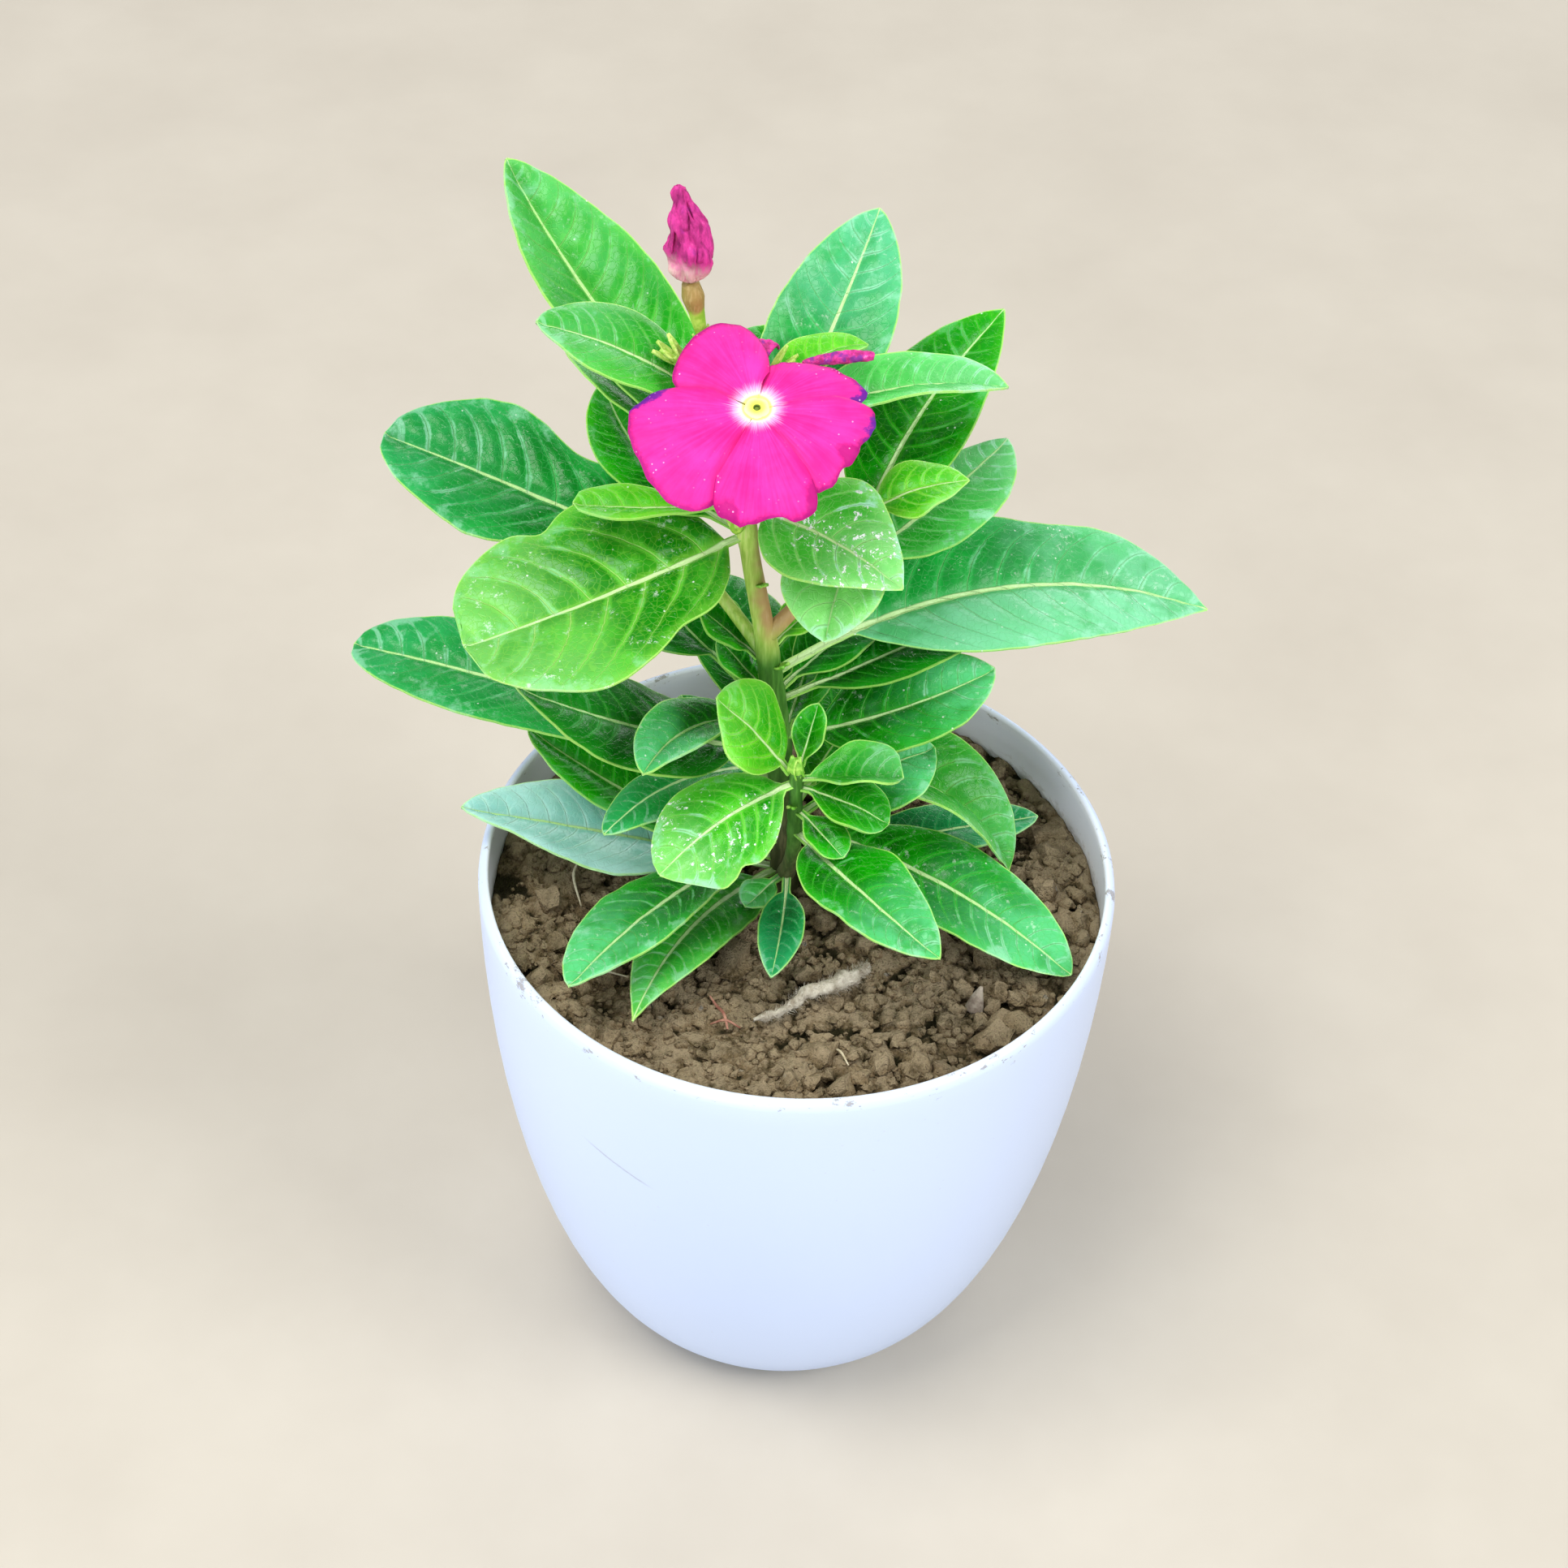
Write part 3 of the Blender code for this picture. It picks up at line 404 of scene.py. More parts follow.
# Leaf finishes. deep, body and light run from the hollows to the veins; tip is the colour that gathers
# towards the tip, partly the leaf's own tone and partly a painted sheen; the sheen share is how much
# painted whitish-teal sheen is laid on in streaks; dust the dried white spots, veins how clearly the side
# veins show
leafLooks = {
    "golden": dict(deep=(0.004, 0.19, 0.001), body=(0.065, 0.42, 0.022), light=(0.34, 0.74, 0.07),
        tip=(0.19, 0.58, 0.12), tipShare=0.7, paintedSheen=0.22, dust=0.30, veins=0.62),
    "young": dict(deep=(0.02, 0.34, 0.003), body=(0.10, 0.58, 0.010), light=(0.40, 0.84, 0.08),
        tip=(0.18, 0.70, 0.06), tipShare=0.4, paintedSheen=0.14, dust=0.10, veins=0.58),
    "vivid": dict(deep=(0.000, 0.13, 0.000), body=(0.003, 0.34, 0.001), light=(0.09, 0.60, 0.01),
        tip=(0.012, 0.44, 0.008), tipShare=0.5, paintedSheen=0.12, dust=0.10, veins=0.42),
    # dark: deep green, partly the leaves' own tone and partly painted shade for leaves deep in the plant
    "dark": dict(deep=(0.000, 0.09, 0.001), body=(0.002, 0.22, 0.004), light=(0.04, 0.44, 0.015),
        tip=(0.004, 0.30, 0.018), tipShare=0.5, paintedSheen=0.10, dust=0.08, veins=0.34),
    "fresh": dict(deep=(0.004, 0.26, 0.003), body=(0.035, 0.40, 0.018), light=(0.20, 0.64, 0.10),
        tip=(0.11, 0.53, 0.14), tipShare=0.65, paintedSheen=0.28, dust=0.14, veins=0.42),
    "teal": dict(deep=(0.001, 0.17, 0.010), body=(0.008, 0.31, 0.035), light=(0.08, 0.54, 0.15),
        tip=(0.022, 0.38, 0.10), tipShare=0.7, paintedSheen=0.34, dust=0.16, veins=0.36),
    # teal, with its pale tip a painted reflection of the bright sky behind
    "silver": dict(deep=(0.004, 0.24, 0.025), body=(0.012, 0.40, 0.050), light=(0.15, 0.62, 0.22),
        tip=(0.10, 0.52, 0.24), tipShare=0.9, paintedSheen=0.36, dust=0.22, veins=0.40),
    # split: teal, with a painted highlight on one half and a painted sheen towards the tip
    "split": dict(deep=(0.004, 0.24, 0.025), body=(0.012, 0.40, 0.050), light=(0.15, 0.62, 0.22),
        tip=(0.22, 0.66, 0.36), tipShare=0.7, paintedSheen=0.36, dust=0.22, half=0.85, veins=0.36),
    "blue": dict(deep=(0.000, 0.12, 0.015), body=(0.003, 0.27, 0.045), light=(0.05, 0.48, 0.14),
        tip=(0.025, 0.40, 0.14), tipShare=0.7, paintedSheen=0.30, dust=0.14, veins=0.30),
    "sheen": dict(deep=(0.012, 0.32, 0.015), body=(0.08, 0.58, 0.09), light=(0.28, 0.78, 0.26),
        tip=(0.20, 0.70, 0.26), tipShare=0.6, paintedSheen=0.5, dust=0.14, veins=0.50),
    "dusty": dict(deep=(0.008, 0.28, 0.002), body=(0.075, 0.56, 0.018), light=(0.32, 0.80, 0.12),
        tip=(0.28, 0.76, 0.20), tipShare=0.6, paintedSheen=0.5, dust=0.8, veins=0.60),
    # pale, its whites partly dried white spots and partly a strong painted sheen
    "frosty": dict(deep=(0.04, 0.42, 0.02), body=(0.16, 0.68, 0.09), light=(0.44, 0.88, 0.26),
        tip=(0.36, 0.84, 0.30), tipShare=0.6, paintedSheen=0.75, dust=1.1, veins=0.46),
    # glossy: dark green, with a pale painted sheen towards the tip
    "glossy": dict(deep=(0.000, 0.12, 0.000), body=(0.003, 0.32, 0.001), light=(0.06, 0.54, 0.02),
        tip=(0.10, 0.57, 0.20), tipShare=0.95, paintedSheen=0.34, dust=0.22, veins=0.34),
    "hanging": dict(deep=(0.09, 0.50, 0.05), body=(0.20, 0.68, 0.12), light=(0.42, 0.84, 0.30),
        tip=(0.32, 0.78, 0.26), tipShare=0.4, paintedSheen=0.5, dust=0.16, veins=0.50),
    "pale": dict(deep=(0.20, 0.52, 0.44), body=(0.42, 0.74, 0.70), light=(0.56, 0.84, 0.78),
        tip=(0.40, 0.72, 0.70), tipShare=0.4, paintedSheen=0.35, dust=0.06, veins=0.24),
}


def mixed(low, high, share):
    return tuple((1 - share) * a + share * b for a, b in zip(low, high))


def leafFinish(name, look, under=False):
    # map 'blade' holds (along, across), 'veins' (side-vein count, distance out in midrib widths) and
    # 'rim' (mm to the edge, 0)
    made, tree, shader = newMaterial(name)
    at = tree.place()
    along, across = tree.map("blade")
    count, out = tree.map("veins")
    toRim = tree.map("rim")[0]
    side = abs(across - 0.5) * 2.0
    broad = tree.cloud(at, 9.0, 3.0, 0.6, 1.0)
    fine = tree.cloud(at, 2.2, 3.0, 0.6, 2.0)
    wobble = (tree.cloud(at, 4.0, 2.0, 0.5, 3.0) - 0.5) * 0.12
    step = (count + wobble + 100.0).math("FRACT")
    fromVein = abs(step - 0.5)  # 0.5 on a side vein, 0 between two
    patchy = 0.55 + tree.cloud(at, 8.0, 2.0, 0.5, 9.0) * 0.9
    sideVein = fromVein.fade(0.462 + side * 0.018, 0.497) * patchy
    sideVein = sideVein * side.fade(0.97, 0.84) * along.fade(0.98, 0.90)
    halo = fromVein.fade(0.30, 0.5) * side.fade(0.95, 0.6)
    midrib = out.fade(1.15, 0.75)
    nextRib = out.fade(3.2, 0.8)
    net = tree.cells(at, 1.3, "DISTANCE_TO_EDGE").fade(0.09, 0.02)
    rim = toRim.fade(0.42, 0.12)
    inner = toRim.fade(2.6, 0.6)

    wide = tree.cloud(at, 20.0, 2.0, 0.5, 12.0)
    hollow = (1.0 - halo) * 0.36 + broad * 0.95 + wide * 1.25 - side.fade(0.60, 0.98) * 0.26 - along * 0.18
    hollow = hollow.fade(1.00, 1.42)
    colour = hollow.blend(look["body"], look["deep"])
    # towards the tip the colour turns to the tip tone, partly the leaf's own tone and partly a painted sheen
    tipToneAndSheen = (along + (broad - 0.5) * 0.5).fade(0.38, 0.95) * look["tipShare"]
    colour = tipToneAndSheen.blend(colour, look["tip"])
    # painted highlight: the paler half stands for the side of the blade turned to the light
    if "half" in look:  # one half of the blade is turned to the light and paler
        colour = (across.fade(0.47, 0.60) * (0.55 + broad * 0.7) * look["half"]).blend(colour, look["tip"])
    mottle = tree.cloud(at, 12.0, 3.0, 0.6, 15.0).fade(0.50, 0.62) * (1.0 - side.fade(0.7, 1.0) * 0.5) * 0.5
    colour = mottle.blend(colour, mixed(look["deep"], look["body"], 0.45))
    lit = halo * 0.14 + nextRib * 0.30 + inner * 0.16 + fine.fade(0.5, 0.8) * 0.12
    colour = lit.blend(colour, look["light"])
    colour = (net * 0.14).blend(colour, look["light"])
    colour = (sideVein * look["veins"]).blend(colour, mixed(look["light"], (0.62, 0.86, 0.36), 0.42))
    ribTone = along.blend((0.66, 0.84, 0.42), (0.52, 0.84, 0.34))
    colour = (midrib * 0.95).blend(colour, ribTone)
    colour = (rim * (0.35 + broad * 0.6)).blend(colour, (0.50, 0.84, 0.18))
    streaky = tree.cloud(at, 5.0, 5.0, 0.7, 4.0)
    # painted sheen: a whitish-teal highlight laid on in streaks, mostly towards the tip
    paintedSheen = (streaky * 0.9 + wide * 0.7 + along * 0.22 - 0.25 * hollow).fade(0.86, 1.06)
    paintedSheen = paintedSheen * (1.0 - sideVein * 0.6) * look["paintedSheen"]
    colour = paintedSheen.blend(colour, (0.46, 0.85, 0.66))
    spots = tree.cells(at, 1.9).fade(0.16, 0.05) * tree.cloud(at, 6.0, 2.0, 0.5, 6.0).fade(0.50, 0.66)
    wetted = (tree.cloud(at, 7.0, 2.0, 0.5, 8.0) + along * 0.12).fade(0.55, 0.68)
    smear = tree.cloud(at, 1.4, 4.0, 0.75, 7.0).fade(0.54, 0.66) * wetted
    dust = (spots * 0.5 + smear * look["dust"] * 1.6 + spots * look["dust"]).fade(0.0, 1.0)
    colour = dust.blend(colour, (0.86, 0.93, 0.84))
    rough = 0.21 + paintedSheen * 0.35 + dust * 0.3 + (fine - 0.5) * 0.14 + (1.0 - hollow) * 0.05
    height = midrib * 0.9 - sideVein * 0.9 - net * 0.16 + fine * 0.25 + dust * 0.2
    if under:
        colour = (tree.cloud(at, 5.0) * 0.5).blend((0.36, 0.62, 0.22), (0.50, 0.72, 0.32))
        colour = (sideVein * 0.5 + midrib * 0.8).blend(colour, (0.66, 0.82, 0.44))
        rough = 0.55 + (fine - 0.5) * 0.1
        height = sideVein * 0.6 + net * 0.1
    wireUp(tree, shader, colour, rough, height, 0.7, 0.4, specular=0.2)
    return made


leafPaint = {name: leafFinish("leaf_" + name, look) for name, look in leafLooks.items()}
leafUnder = leafFinish("leaf_underside", leafLooks["young"], under=True)
leafUnderPale = leafFinish("leaf_underside_pale", leafLooks["pale"], under=True)
print("leaf finishes made")


def stemSide(stem, z, out):
    # the spot just clear of the stem's skin at a height, on the side that faces out
    path = smoothPath(stem["points"], 6)
    k = next((k for k in range(1, len(path)) if path[k].z >= z), len(path) - 1)
    a, b = path[k - 1], path[k]
    spot = a.lerp(b, (z - a.z) / (b.z - a.z))
    radius = stem["foot"] + (stem["top"] - stem["foot"]) * (z - path[0].z) / (path[-1].z - path[0].z)
    way = (b - a).normalized()
    lean = way.dot(out)
    radius = radius / math.sqrt(1 - lean * lean) + leafShape["gap"] + 0.1
    return spot + out * (radius + max(0, 0.6 * lean / way.z))


def halfWidth(d, t):
    u = min(max((t - d["stalk"]) / (1 - d["stalk"]), 0), 1)
    widest = d["full"] / (d["full"] + d["blunt"])
    return (u / widest) ** d["full"] * ((1 - u) / (1 - widest)) ** d["blunt"] * d["wide"] / 2


def ribWidth(d, t):
    # half the pale midrib's width, in mm
    scale = 0.27 + 0.011 * d["long"]
    return scale * (1.0 - 0.78 * t ** 0.7)


def leafPath(d, rows):
    # the midrib's spots and directions, one for each row of the blade
    out = heading(d["turn"], 0)
    spot = stemSide(stems[d["stem"]], d["at"], out)
    spot = spot + out * (0.5 * leafShape["blade"] * abs(math.sin(math.radians(d["rise"]))))
    fine = 4  # steps to a row
    spots, ways = [spot.copy()], []
    for k in range(rows * fine + 1):
        t = k / (rows * fine)
        way = heading(d["turn"] + d["swing"] * t, d["rise"] - d["droop"] * t ** 1.3)
        if k % fine == 0:
            ways.append(way)
        if k < rows * fine:
            spot = spot + way * (d["long"] / rows / fine)
            if (k + 1) % fine == 0:
                spots.append(spot.copy())
    spots[0] = spots[0] - ways[0] * leafShape["root"]  # the stalk reaches the stem's skin
    return spots, ways


def veinCount(d, t, side, spread, half, gapMm):
    # how many side veins lie below this spot, whole numbers and a half being between two
    count = (t * d["long"] - 0.34 * (spread * half) - 0.62 * half * spread ** 2.6) / gapMm
    count = count + (0.45 if side < 0 else 0) + noise.noise(Vector((d["at"], d["turn"], d["long"])))
    return count + 0.45 * noise.noise(Vector((t * 2.6, 4.0 * math.copysign(1, side), d["long"])))


def bladeLift(d, t, side, spread, half, count, gapMm):
    # how far the blade's surface stands above the midrib's plane, in mm
    shape = leafShape
    lift = spread * half * math.sin(math.radians(d["fold"])) - shape["dome"] * half * side * side
    wave = math.sin(2 * math.pi * (2 * t + (0.35 if side < 0 else 0)))
    lift += shape["ripple"] * side * side * wave * min(1, 4 * t * (1 - t) + 0.2) * min(1, half / 3)
    held = min(1, half / 5) * min(1, 5 * spread) * max(0, 1 - spread ** 4)
    fromVein = 0.5 - abs(count % 1 - 0.5)
    lift += shape["quilt"] * gapMm / 5 * (1 - math.exp(-(fromVein / shape["groove"]) ** 2)) * held
    uneven = noise.noise(Vector((t * d["long"] / 5, side * half / 3, d["at"])))
    lift += shape["dimple"] * min(1, half / 4) * uneven
    lift -= shape["channel"] * min(1, half / 4) * math.exp(-(spread * half / shape["channelWidth"]) ** 2)
    return lift - shape["turnDown"] * min(1, half / 8) * max(0, spread - 0.75) ** 2 * 6


def addLeaf(name, d):
    rows = max(18, min(84, round(d["long"] / leafShape["rowLength"])))
    columns = 2 * max(6, min(13, round(d["wide"] / leafShape["columnWidth"])))
    spots, ways = leafPath(d, rows)
    gapMm = max(leafShape["leastVeinGap"], d["wide"] / leafShape["veinsAcross"])
    obj = addGrid("blade_" + name, rows, columns)
    mesh = obj.data
    values = {}
    for vert in mesh.vertices:
        row = round((vert.co.x + 1) / 2 * rows)
        t = row / rows
        side = vert.co.y
        side = math.copysign(abs(side) ** 1.15, side) if side else 0.0  # a few more rows near the midrib
        spread = abs(side)
        turn = math.radians(d["turn"] + d["swing"] * t)
        across = Vector((math.sin(turn), -math.cos(turn), 0))
        up = across.cross(ways[row])
        lean = math.radians(d["roll"])
        across, up = (across * math.cos(lean) + up * math.sin(lean),
                      up * math.cos(lean) - across * math.sin(lean))
        blade = halfWidth(d, t)
        for place, margin, grow, reach in d["dents"]:
            if margin * side > 0:
                blade = max(0, blade + grow * math.exp(-((t - place) / reach) ** 2))
        half = max(blade, leafShape["stalkWidth"] / 2 if t < 0.5 else 0.12)
        count = veinCount(d, t, side, spread, half, gapMm)
        lift = bladeLift(d, t, side, spread, half, count, gapMm)
        frayed = noise.noise(Vector((t * d["long"] / 3.5, 3 * math.copysign(1, side), d["turn"])))
        frayed = leafShape["ragged"] * frayed * spread ** 6
        reach = (side + frayed / max(half, 1)) * half * math.cos(math.radians(d["fold"]))
        vert.co = (spots[row] + across * reach + up * lift) * mm
        fromRib = spread * half / ribWidth(d, t)
        values[vert.index] = (t, (side + 1) / 2, count, fromRib, half * (1 - spread), 0)
    setMaps(mesh, ("blade", "veins", "rim"), values)
    mesh.materials.append(leafPaint[d["look"]])
    mesh.materials.append(leafUnderPale if d["look"] in paleBacked else leafUnder)
    mesh.flip_normals()  # the upper face out
    addWall(obj, leafShape["thick"], backSlot=1)
    smoothFinish(obj, 60)
    slot = next(slot for slot, words in slotWords.items() if any(word in name for word in words))
    settle(obj, slot, "leaf_" + name)


for leafName, leafValues in leaves.items():
    addLeaf(leafName, leafValues)
print("leaves made")


# Stems: yellow-green and flushed brown under the crown, dark green lower down, woody brown at the foot;
# the dark green and dark brown are partly painted shade among the lower leaves
def stemFinish():
    made, tree, shader = newMaterial("stem")
    at = tree.place()
    x, y, z = at.split()
    broad = tree.cloud(at, 14.0, 3.0, 0.6, 1.0)
    streak = tree.streaks(at, 0.9, 0.12, 3.0, 0.6, 2.0)
    flush = (broad * 1.1 + (x + 4.0 + (z - 120.0) * 0.085) * 0.10 - 0.12).fade(0.30, 0.62)
    flush = flush * z.fade(238.0, 222.0) * z.fade(172.0, 182.0)
    colour = streak.fade(0.35, 0.65).blend((0.36, 0.56, 0.07), (0.56, 0.74, 0.16))
    colour = (flush * 0.9).blend(colour, (0.42, 0.22, 0.10))
    colour = (streak.fade(0.55, 0.72) * 0.4).blend(colour, (0.62, 0.48, 0.30))
    # painted shade, partly the stem's own colour: dark green lower down and dark brown at the foot
    deepGreenAndShade = streak.fade(0.4, 0.7).blend((0.012, 0.12, 0.006), (0.05, 0.24, 0.02))
    colour = ((z + broad * 10.0).fade(184.0, 174.0) * 0.92).blend(colour, deepGreenAndShade)
    woodyAndShade = streak.fade(0.4, 0.7).blend((0.045, 0.040, 0.014), (0.13, 0.10, 0.045))
    colour = ((z + broad * 16.0).fade(154.0, 132.0) * 0.92).blend(colour, woodyAndShade)
    wireUp(tree, shader, colour, 0.45 + streak * 0.2, streak, 0.5, 0.3)
    return made


stemPaint = stemFinish()


def addStem(name):
    # one shoot, with a swelling at each leaf joint
    given = stems[name]
    path = smoothPath(given["points"], 14)
    low, high = path[0].z, path[-1].z
    joints = [leaf["at"] for leaf in leaves.values() if leaf["stem"] == name]
    radii = []
    for spot in path:
        swell = max([math.exp(-((spot.z - joint) / 1.5) ** 2) for joint in joints] + [0])
        radius = given["foot"] + (given["top"] - given["foot"]) * (spot.z - low) / (high - low)
        radii.append(radius * (1 + 0.16 * swell))
    return addRod("stem_" + name, path, radii, stemPaint, steps=1, roundness=6)


def addScale(name, foot, tip, wide, finish, rows=8, columns=6, thick=0.3):
    # a small pointed scale or sepal from foot to tip, hollow towards the stem
    foot, tip, hollow = Vector(foot), Vector(tip), 0.35
    along = tip - foot
    across = along.cross(Vector((0, 0, 1)))
    if across.length < 0.01 * along.length:
        across = Vector((1, 0, 0))
    across = across.normalized()
    up = across.cross(along).normalized()
    made = addGrid(name, rows, columns)
    for vert in made.data.vertices:
        t, side = (vert.co.x + 1) / 2, vert.co.y
        half = wide / 2 * max(0.12, math.sin(math.pi * min(1, 0.18 + 0.82 * t)) ** 0.8)
        lift = hollow * wide * (side * side - 0.5 + 0.9 * (t - 0.5) ** 2)
        vert.co = (foot + along * t + across * (side * half) + up * lift) * mm
    made.data.materials.append(finish)
    addWall(made, thick)
    tidyMesh(made)
    smoothFinish(made)
    return made


def simpleFinish(name, low, high, size, rough, seed=0.0, bumpUp=0.4, reach=0.3, extra=None):
    # two tones in soft clouds, with an optional third tone in streaks
    made, tree, shader = newMaterial(name)
    at = tree.place()
    cloud = tree.cloud(at, size, 4.0, 0.6, seed)
    fine = tree.cloud(at, size / 5, 4.0, 0.65, seed + 3)
    colour = cloud.fade(0.35, 0.65).blend(low, high)
    if extra:
        colour = (fine.fade(0.52, 0.70) * 0.7).blend(colour, extra)
    wireUp(tree, shader, colour, rough + fine * 0.15 - 0.07, fine, bumpUp, reach)
    return made


budPaint = simpleFinish("bud_green", (0.16, 0.50, 0.03), (0.50, 0.80, 0.14), 2.0, 0.4, 1.0)
cupPaint = simpleFinish("cup_green", (0.30, 0.56, 0.05), (0.66, 0.82, 0.20), 2.5, 0.45, 2.0,
                        extra=(0.78, 0.84, 0.36))

# The bud at the front shoot's tip: scales round a small heart. Then the small buds of two scales in the
# leaf joints: shoot, height, heading and length
tipBud = dict(heart=((-1, -12, 156), (-1.1, -12.1, 158.2), (-1.4, -12.2, 160.6)),
              radii=(0.9, 1.45, 1.2, 0.35), scales=((-1.2, 0.2), (1.2, -0.3), (0.1, -1.3)), wide=1.9)
sideBuds = (("main", 209, -95, 4.0), ("main", 206, -55, 3.2), ("main", 190, -60, 2.6),
            ("front", 148, -110, 2.4), ("main", 169, -40, 3.2), ("left", 194.6, 165, 4.2),
            ("left", 192.4, 60, 3.0), ("right", 204.6, 60, 4.0), ("right", 202.6, 150, 3.0))

shoots = [addStem(name) for name in stems]
shoots.append(addRod("bud_heart", tipBud["heart"], tipBud["radii"], budPaint))
for k, (dx, dy) in enumerate(tipBud["scales"]):
    foot = (-1 + dx * 0.9, -12 + dy * 0.9, 156.2)
    tip = (-1.3 + dx * 0.45, -12.2 + dy * 0.45, 160.9)
    shoots.append(addScale(f"bud_scale_{k}", foot, tip, tipBud["wide"], budPaint))
for k, (stemName, z, turn, long) in enumerate(sideBuds):
    side = stemSide(stems[stemName], z, heading(turn, 0))
    for n, swing in enumerate((-24, 24)):
        foot, tip = side - heading(turn, 0) * 1.2, side + heading(turn + swing, 52) * long
        shoots.append(addScale(f"side_bud_{k}_{n}", foot, tip, long * 0.5, budPaint, rows=6, columns=4))
stem = joinAll(shoots, "stem_whole")
settle(stem, "stem", "stem")
print("stems made")


# Pot: white plastic, thin and slightly bluish, dirt on the rim and a scratch low on the front
pot = dict(height=120.0, rim=65.0, base=35.9, wall=2.0, floor=2.6, sides=144)  # rim and base are radii


def potRadius(z):
    x = min(max(z / pot["height"], 0), 1)
    return pot["base"] + (pot["rim"] - pot["base"]) * (1 - (1 - x) ** 2) ** 0.6


def potFinish():
    made, tree, shader = newMaterial("pot_plastic")
    at = tree.place()
    x, y, z = at.split()
    flat = tree.node("ShaderNodeVectorMath", {"operation": "MULTIPLY"}, {0: at, 1: (1.0, 1.0, 0.0)})
    away = tree.node("ShaderNodeVectorMath", {"operation": "LENGTH"}, {0: flat}, out=1)
    broad = tree.cloud(at, 45.0, 2.0, 0.5, 1.0)
    fine = tree.cloud(at, 0.9, 3.0, 0.6, 2.0)
    # painted shade: the wall is a little darker and bluer towards the bottom of the pot
    colour = (z.fade(20.0, 115.0) * 0.6 + broad * 0.4).blend((0.60, 0.71, 0.96), (0.64, 0.74, 0.97))
    within = away.fade(64.0, 62.4) * z.fade(98.0, 103.0)  # 1 on the inner wall above the soil only
    # painted light: the inner wall above the soil is painted near-white so that it reads bright
    colour = within.blend(colour, (0.97, 0.97, 1.0))
    # dirt in patches along the lip, thicker on top of it and fading just below
    patch = tree.cloud(at, 7.0, 5.0, 0.72, 5.0)
    ragged = tree.streaks(at, 2.4, 2.4, 5.0, 0.75, 6.0)
    lip = z.fade(116.4, 118.6)
    dirt = (patch * 0.62 + ragged * 0.62 + lip * 0.05).fade(0.745, 0.80) * z.fade(114.0, 118.0)
    inside = within * (ragged * 0.7 + patch * 0.5 - (z - 108.0) * 0.055).fade(0.48, 0.62)
    specks = tree.cells(at, 3.2).fade(0.10, 0.04) * tree.cloud(at, 20.0, 2.0, 0.5, 8.0).fade(0.5, 0.62)
    colour = (dirt * 0.8).blend(colour, (0.30, 0.27, 0.24))
    colour = (inside * 0.42).blend(colour, (0.36, 0.31, 0.26))
    colour = (specks * 0.25).blend(colour, (0.50, 0.50, 0.54))
    # the scratch runs down to the right on the front
    off = abs(z - 86.0 + (x + 30.0) * 0.37 + (fine - 0.5) * 0.5)
    scratch = off.fade(0.42, 0.10) * x.fade(-41.0, -37.0) * x.fade(-25.6, -29.0) * y.fade(0.0, -5.0)
    colour = (scratch * 0.75).blend(colour, (0.42, 0.46, 0.60))
    rough = 0.38 + dirt * 0.45 + (broad - 0.5) * 0.12 + (fine - 0.5) * 0.04
    height = fine * 0.25 + dirt * 0.6 - scratch
    wireUp(tree, shader, colour, rough, height, 0.15, 0.3)
    return made


def makePot():
    lip = [(64.3, 119.55), (63.9, 119.93), (63.4, 119.99), (63.0, 119.75), (62.85, 119.3)]
    heights = (117.5, 113, 106, 98, 89, 79, 69, 59, 50, 41, 33, 26, 20, 15, 11, 7.6, 4.8, 2.6, 1.1, 0.35)
    outer = [(64.75, 119.1), *[(potRadius(z), z) for z in heights]]
    foot = [(potRadius(0.35) - 1.2, 0.06), (34.4, 0.0), (31.5, 0.0), (30.6, 0.5), (12, 0.5), (0, 0.5)]
    heights = (pot["floor"], 8.0, 14.0, 24.0, 34.0, 47.0, 60.0, 76.0, 92.0, 104.0, 112.0, 117.0)
    inner = [(potRadius(z) - pot["wall"], z) for z in heights]
    profile = [(0, pot["floor"]), *inner, *lip[::-1], *outer, *foot]
    bpy.ops.object.select_all(action="DESELECT")
    bpy.ops.mesh.primitive_plane_add(size=0.01)
    made = bpy.context.object
    made.name = made.data.name = "pot_shell"
    bpy.ops.object.mode_set(mode="EDIT")
    bm = bmesh.from_edit_mesh(made.data)
    bmesh.ops.delete(bm, geom=list(bm.verts)[1:], context="VERTS")
    bm.verts.ensure_lookup_table()
    bm.verts[0].co = (profile[0][0] * mm, 0, profile[0][1] * mm)
    bm.verts[0].select = True
    bmesh.update_edit_mesh(made.data)
    for (r0, z0), (r1, z1) in zip(profile, profile[1:]):  # each vertex is extruded on from the last
        step = ((r1 - r0) * mm, 0, (z1 - z0) * mm)
        bpy.ops.mesh.extrude_region_move(TRANSFORM_OT_translate={"value": step})
    bpy.ops.mesh.select_all(action="SELECT")
    bpy.ops.mesh.spin(steps=pot["sides"], angle=2 * math.pi, center=(0, 0, 0), axis=(0, 0, 1))
    bpy.ops.object.mode_set(mode="OBJECT")
    tidyMesh(made)
    smoothFinish(made, 50)
    made.data.materials.append(potFinish())
    return made


settle(makePot(), "pot_plastic", "pot")
print("pot made")


# Soil: brown loam in clods and crumbs, 12 mm below the rim
# clods and small are sizes and heights, and lumps are how many, least and most radius, and smoothness
soil = dict(top=108.0, clods=((26.0, 1.5), (12.0, 1.7)), small=((7.5, 2.3), (4.2, 1.7), (2.4, 1.1)),
            rings=118, sides=330, lumps=((60, 2.4, 4.2, 2), (520, 1.2, 2.3, 2), (3400, 0.45, 1.4, 1)),
            reach=60.5, stemClear=3.4, twigClear=5.5)
